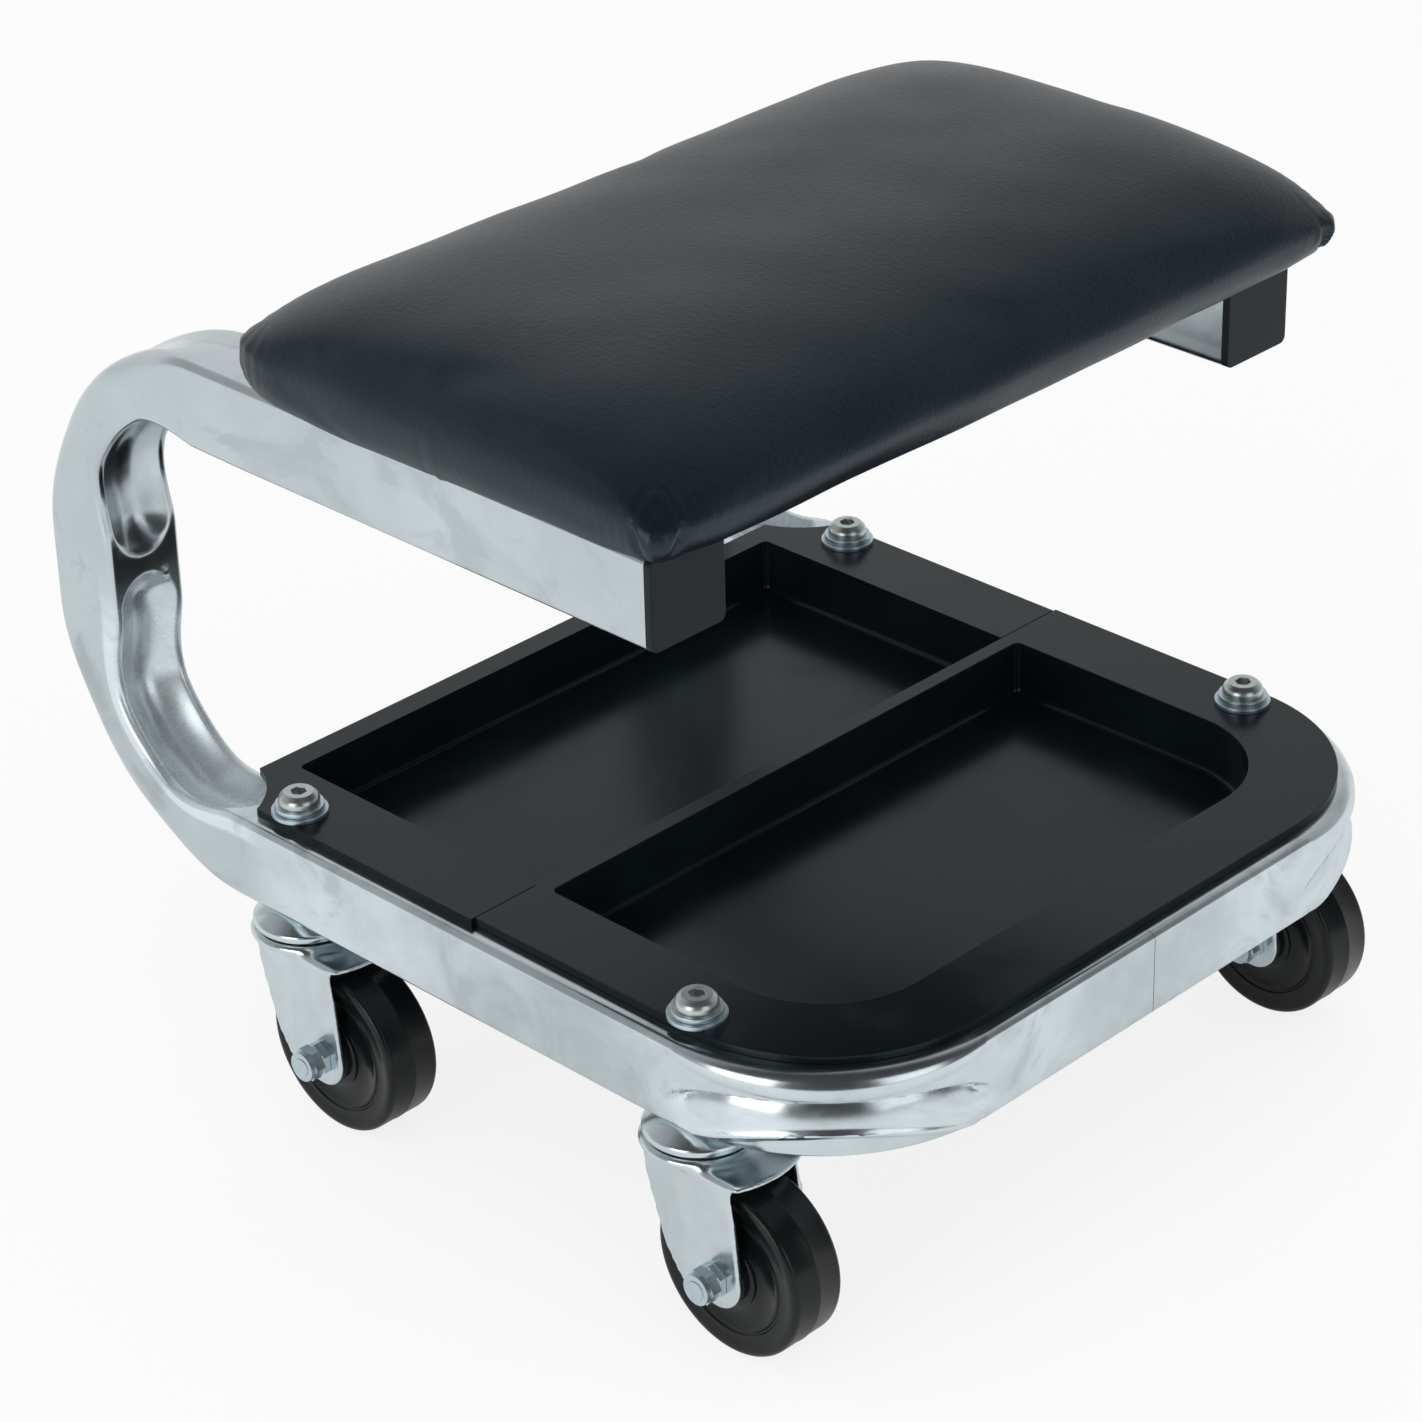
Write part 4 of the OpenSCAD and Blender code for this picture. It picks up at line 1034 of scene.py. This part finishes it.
def pressed_fork(name):
    """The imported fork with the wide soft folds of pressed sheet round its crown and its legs' tops."""
    fork = traced("fork_front_left", name, 0.0003)
    modify(fork, "REMESH", mode="VOXEL", voxel_size=0.0007)
    low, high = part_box("fork_front_left")
    cap_low, cap_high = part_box("raceway_cap_front_left")
    axis = (cap_low + cap_high) / 2
    folds = fork.vertex_groups.new(name="folds")
    for vertex in fork.data.vertices:
        p = vertex.co
        reach = math.hypot(p.x - axis.x, p.y - axis.y)
        weight = smooth_step(p.z, high.z - 0.021, high.z - 0.012) * smooth_step(reach, 0.0190, 0.0215)
        weight *= 0.3 + 0.7 * smooth_step(p.y, low.y + 0.002, low.y + 0.009)
        folds.add([vertex.index], weight, "REPLACE")
    modify(fork, "SMOOTH", factor=0.5, iterations=90, vertex_group="folds")
    modify(fork, "SMOOTH", factor=0.5, iterations=2)
    only(fork)
    bpy.ops.object.shade_smooth()
    return fork


class CREEPER_OT_casters(bpy.types.Operator):
    """Model one caster's wheel, fork and fixings and set copies under each corner"""
    bl_idname = "creeper.casters"
    bl_label = "Casters"

    def execute(self, context):
        finishes = context.scene.creeper_finishes
        centre = (wheel_low + wheel_high) / 2
        radius = (wheel_high.z - wheel_low.z) / 2
        zinc = zinc_plate("caster_zinc", finishes.plating)
        nut_zinc = zinc_plate("nut_zinc", finishes.zinc, 1.8, 0.26)
        steel = turned_steel(finishes.steel)
        rubber = moulded_wheel(finishes.wheel)
        wheel = lathe("wheel_model", wheel_profile(radius, 0.013, wheel_high.x - centre.x), centre)
        smooth(wheel, 45)
        models = {"wheel": wheel, "fork": pressed_fork("fork_model")}
        for kind, width in (("raceway_cap", 0.0009), ("axle_bolt", 0.0004),
                ("jam_nut", 0.0004), ("lock_nut", 0.0004), ("kingpin", 0.0004)):
            models[kind] = traced(kind + "_front_left", kind + "_model", 0.0003)
            soften(models[kind], width)
        looks = {
            "wheel": ("wheel_", "wheel_black", rubber), "fork": ("fork_", "fork_zinc", zinc),
            "raceway_cap": ("", "zinc_plate", zinc), "axle_bolt": ("fork_", "zinc_plate", nut_zinc),
            "jam_nut": ("fork_", "zinc_plate", nut_zinc), "lock_nut": ("fork_", "zinc_plate", nut_zinc),
            "kingpin": ("", "zinc_plate", zinc)}
        for corner in CORNERS:
            shift = Matrix.Translation(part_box("wheel_" + corner)[0] - wheel_low)
            for kind, model in models.items():
                body, slot, finish = looks[kind]
                piece = copied(model, kind + "_piece_" + corner, shift)
                set_in(piece, kind + "_" + corner, body + corner if body else "frame", slot, finish)
            finish_node("swivel_balls_" + corner, steel)
            finish_node("axle_sleeve_" + corner, steel)
        for model in models.values():
            bpy.data.objects.remove(model)
        return {"FINISHED"}


# Stage


def point_camera(settings):
    """A camera at the photograph's angle."""
    az, el, roll = settings.azimuth, settings.elevation, settings.roll
    back = Vector((math.sin(az) * math.cos(el), -math.cos(az) * math.cos(el), math.sin(el)))
    right = Vector((math.cos(az), math.sin(az), 0))
    up = back.cross(right)
    x_axis = right * math.cos(roll) + up * math.sin(roll)
    y_axis = up * math.cos(roll) - right * math.sin(roll)
    camera = new_object("camera", bpy.data.cameras.new("camera"))
    turn = Matrix((x_axis, y_axis, back)).transposed().to_4x4()
    camera.matrix_world = Matrix.Translation(Vector(settings.target) + back * settings.distance) @ turn
    camera.data.sensor_width = 36
    camera.data.lens = settings.lens
    camera.data.clip_end = 50
    bpy.context.scene.camera = camera


def soft_lamp(name, place, power):
    """A rectangular soft box that points at the object."""
    lamp = new_object(name, bpy.data.lights.new(name, "AREA"))
    lamp.data.shape = "RECTANGLE"
    lamp.data.size, lamp.data.size_y = 1.1, 1.2
    lamp.data.energy = power
    lamp.location = place
    lamp.rotation_euler = (Vector((0, 0, 0.2)) - Vector(place)).to_track_quat("-Z", "Y").to_euler()


def studio_world(settings):
    """Even light, and for mirrors a white backdrop, a grey side and a dark room on the camera's right."""
    light = Nodes(bpy.data.worlds.new("studio"))
    towards = light.node(
        "VectorMath", {"operation": "DOT_PRODUCT"},
        [light.node("TexCoord", output="Generated"), DARK_SIDE], output="Value")
    room = light.node("ValToRGB", {"stops": ROOM_STOPS}, [0.5 * towards + 0.5])
    seen = light.node("LightPath", output="Is Camera Ray")
    plain = light.node(
        "Background", None, {"Color": WHITE, "Strength": (1 - settings.world) * seen + settings.world})
    mirrored_room = light.node("Background", None, {"Color": room})
    mirrored = light.node("LightPath", output="Is Glossy Ray")
    mixed = light.node("MixShader", None, [mirrored, plain, mirrored_room])
    light.node("OutputWorld", None, {"Surface": mixed})
    return light.owner


class CREEPER_OT_stage(bpy.types.Operator):
    """Lay the pale floor, light it softly and point the camera"""
    bl_idname = "creeper.stage"
    bl_label = "Stage"

    def execute(self, context):
        scene = context.scene
        settings = scene.creeper_stage
        scene.view_settings.view_transform = "Standard"
        only()
        bpy.ops.mesh.primitive_plane_add(size=14)
        floor = bpy.context.object
        floor.name = "floor"
        paint = Finish("floor_paint")
        rays = paint.node("LightPath", output="Is Camera Ray")
        glossy = paint.node("LightPath", output="Is Glossy Ray")
        matt = paint.node("BsdfDiffuse", None, {"Color": (0.92, 0.92, 0.92, 1)})
        glow = paint.node("Emission", None, {"Color": WHITE})
        mixed = paint.node("MixShader", None, {0: 0.83 * rays + 0.3 * glossy, 1: matt, 2: glow})
        paint.node("OutputMaterial", None, {"Surface": mixed})
        floor.data.materials.append(paint.owner)
        scene.world = studio_world(settings)
        soft_lamp("left_box", (-2.1, -0.25, 0.75), settings.boxes)
        soft_lamp("right_box", (-0.25, -2.1, 0.75), 0.45 * settings.boxes)
        point_camera(settings)
        return {"FINISHED"}


class CREEPER_PT_panel(bpy.types.Panel):
    """Lists the steps that dress the creeper seat"""
    bl_idname = "CREEPER_PT_panel"
    bl_label = "Creeper Seat"
    bl_space_type = "VIEW_3D"
    bl_region_type = "UI"
    bl_category = "Creeper Seat"

    def draw(self, context):
        for step in STEPS:
            self.layout.operator(step.bl_idname)


SETTINGS = {
    "creeper_frame": FrameSizes, "creeper_seat": SeatSizes, "creeper_finishes": Finishes,
    "creeper_stage": StageSettings}
STEPS = (
    CREEPER_OT_frame_tubes, CREEPER_OT_arm_plugs, CREEPER_OT_trays, CREEPER_OT_tray_fasteners,
    CREEPER_OT_cushion, CREEPER_OT_seat_fixings, CREEPER_OT_casters, CREEPER_OT_stage)
CLASSES = (*SETTINGS.values(), *STEPS, CREEPER_PT_panel)


def register():
    for cls in CLASSES:
        bpy.utils.register_class(cls)
    for name, group in SETTINGS.items():
        setattr(bpy.types.Scene, name, bpy.props.PointerProperty(type=group))


def unregister():
    for name in SETTINGS:
        delattr(bpy.types.Scene, name)
    for cls in reversed(CLASSES):
        bpy.utils.unregister_class(cls)


def main():
    register()
    for step in STEPS:
        operator = getattr(bpy.ops.creeper, step.bl_idname.split(".")[1])
        operator()


if __name__ == "__main__":
    main()
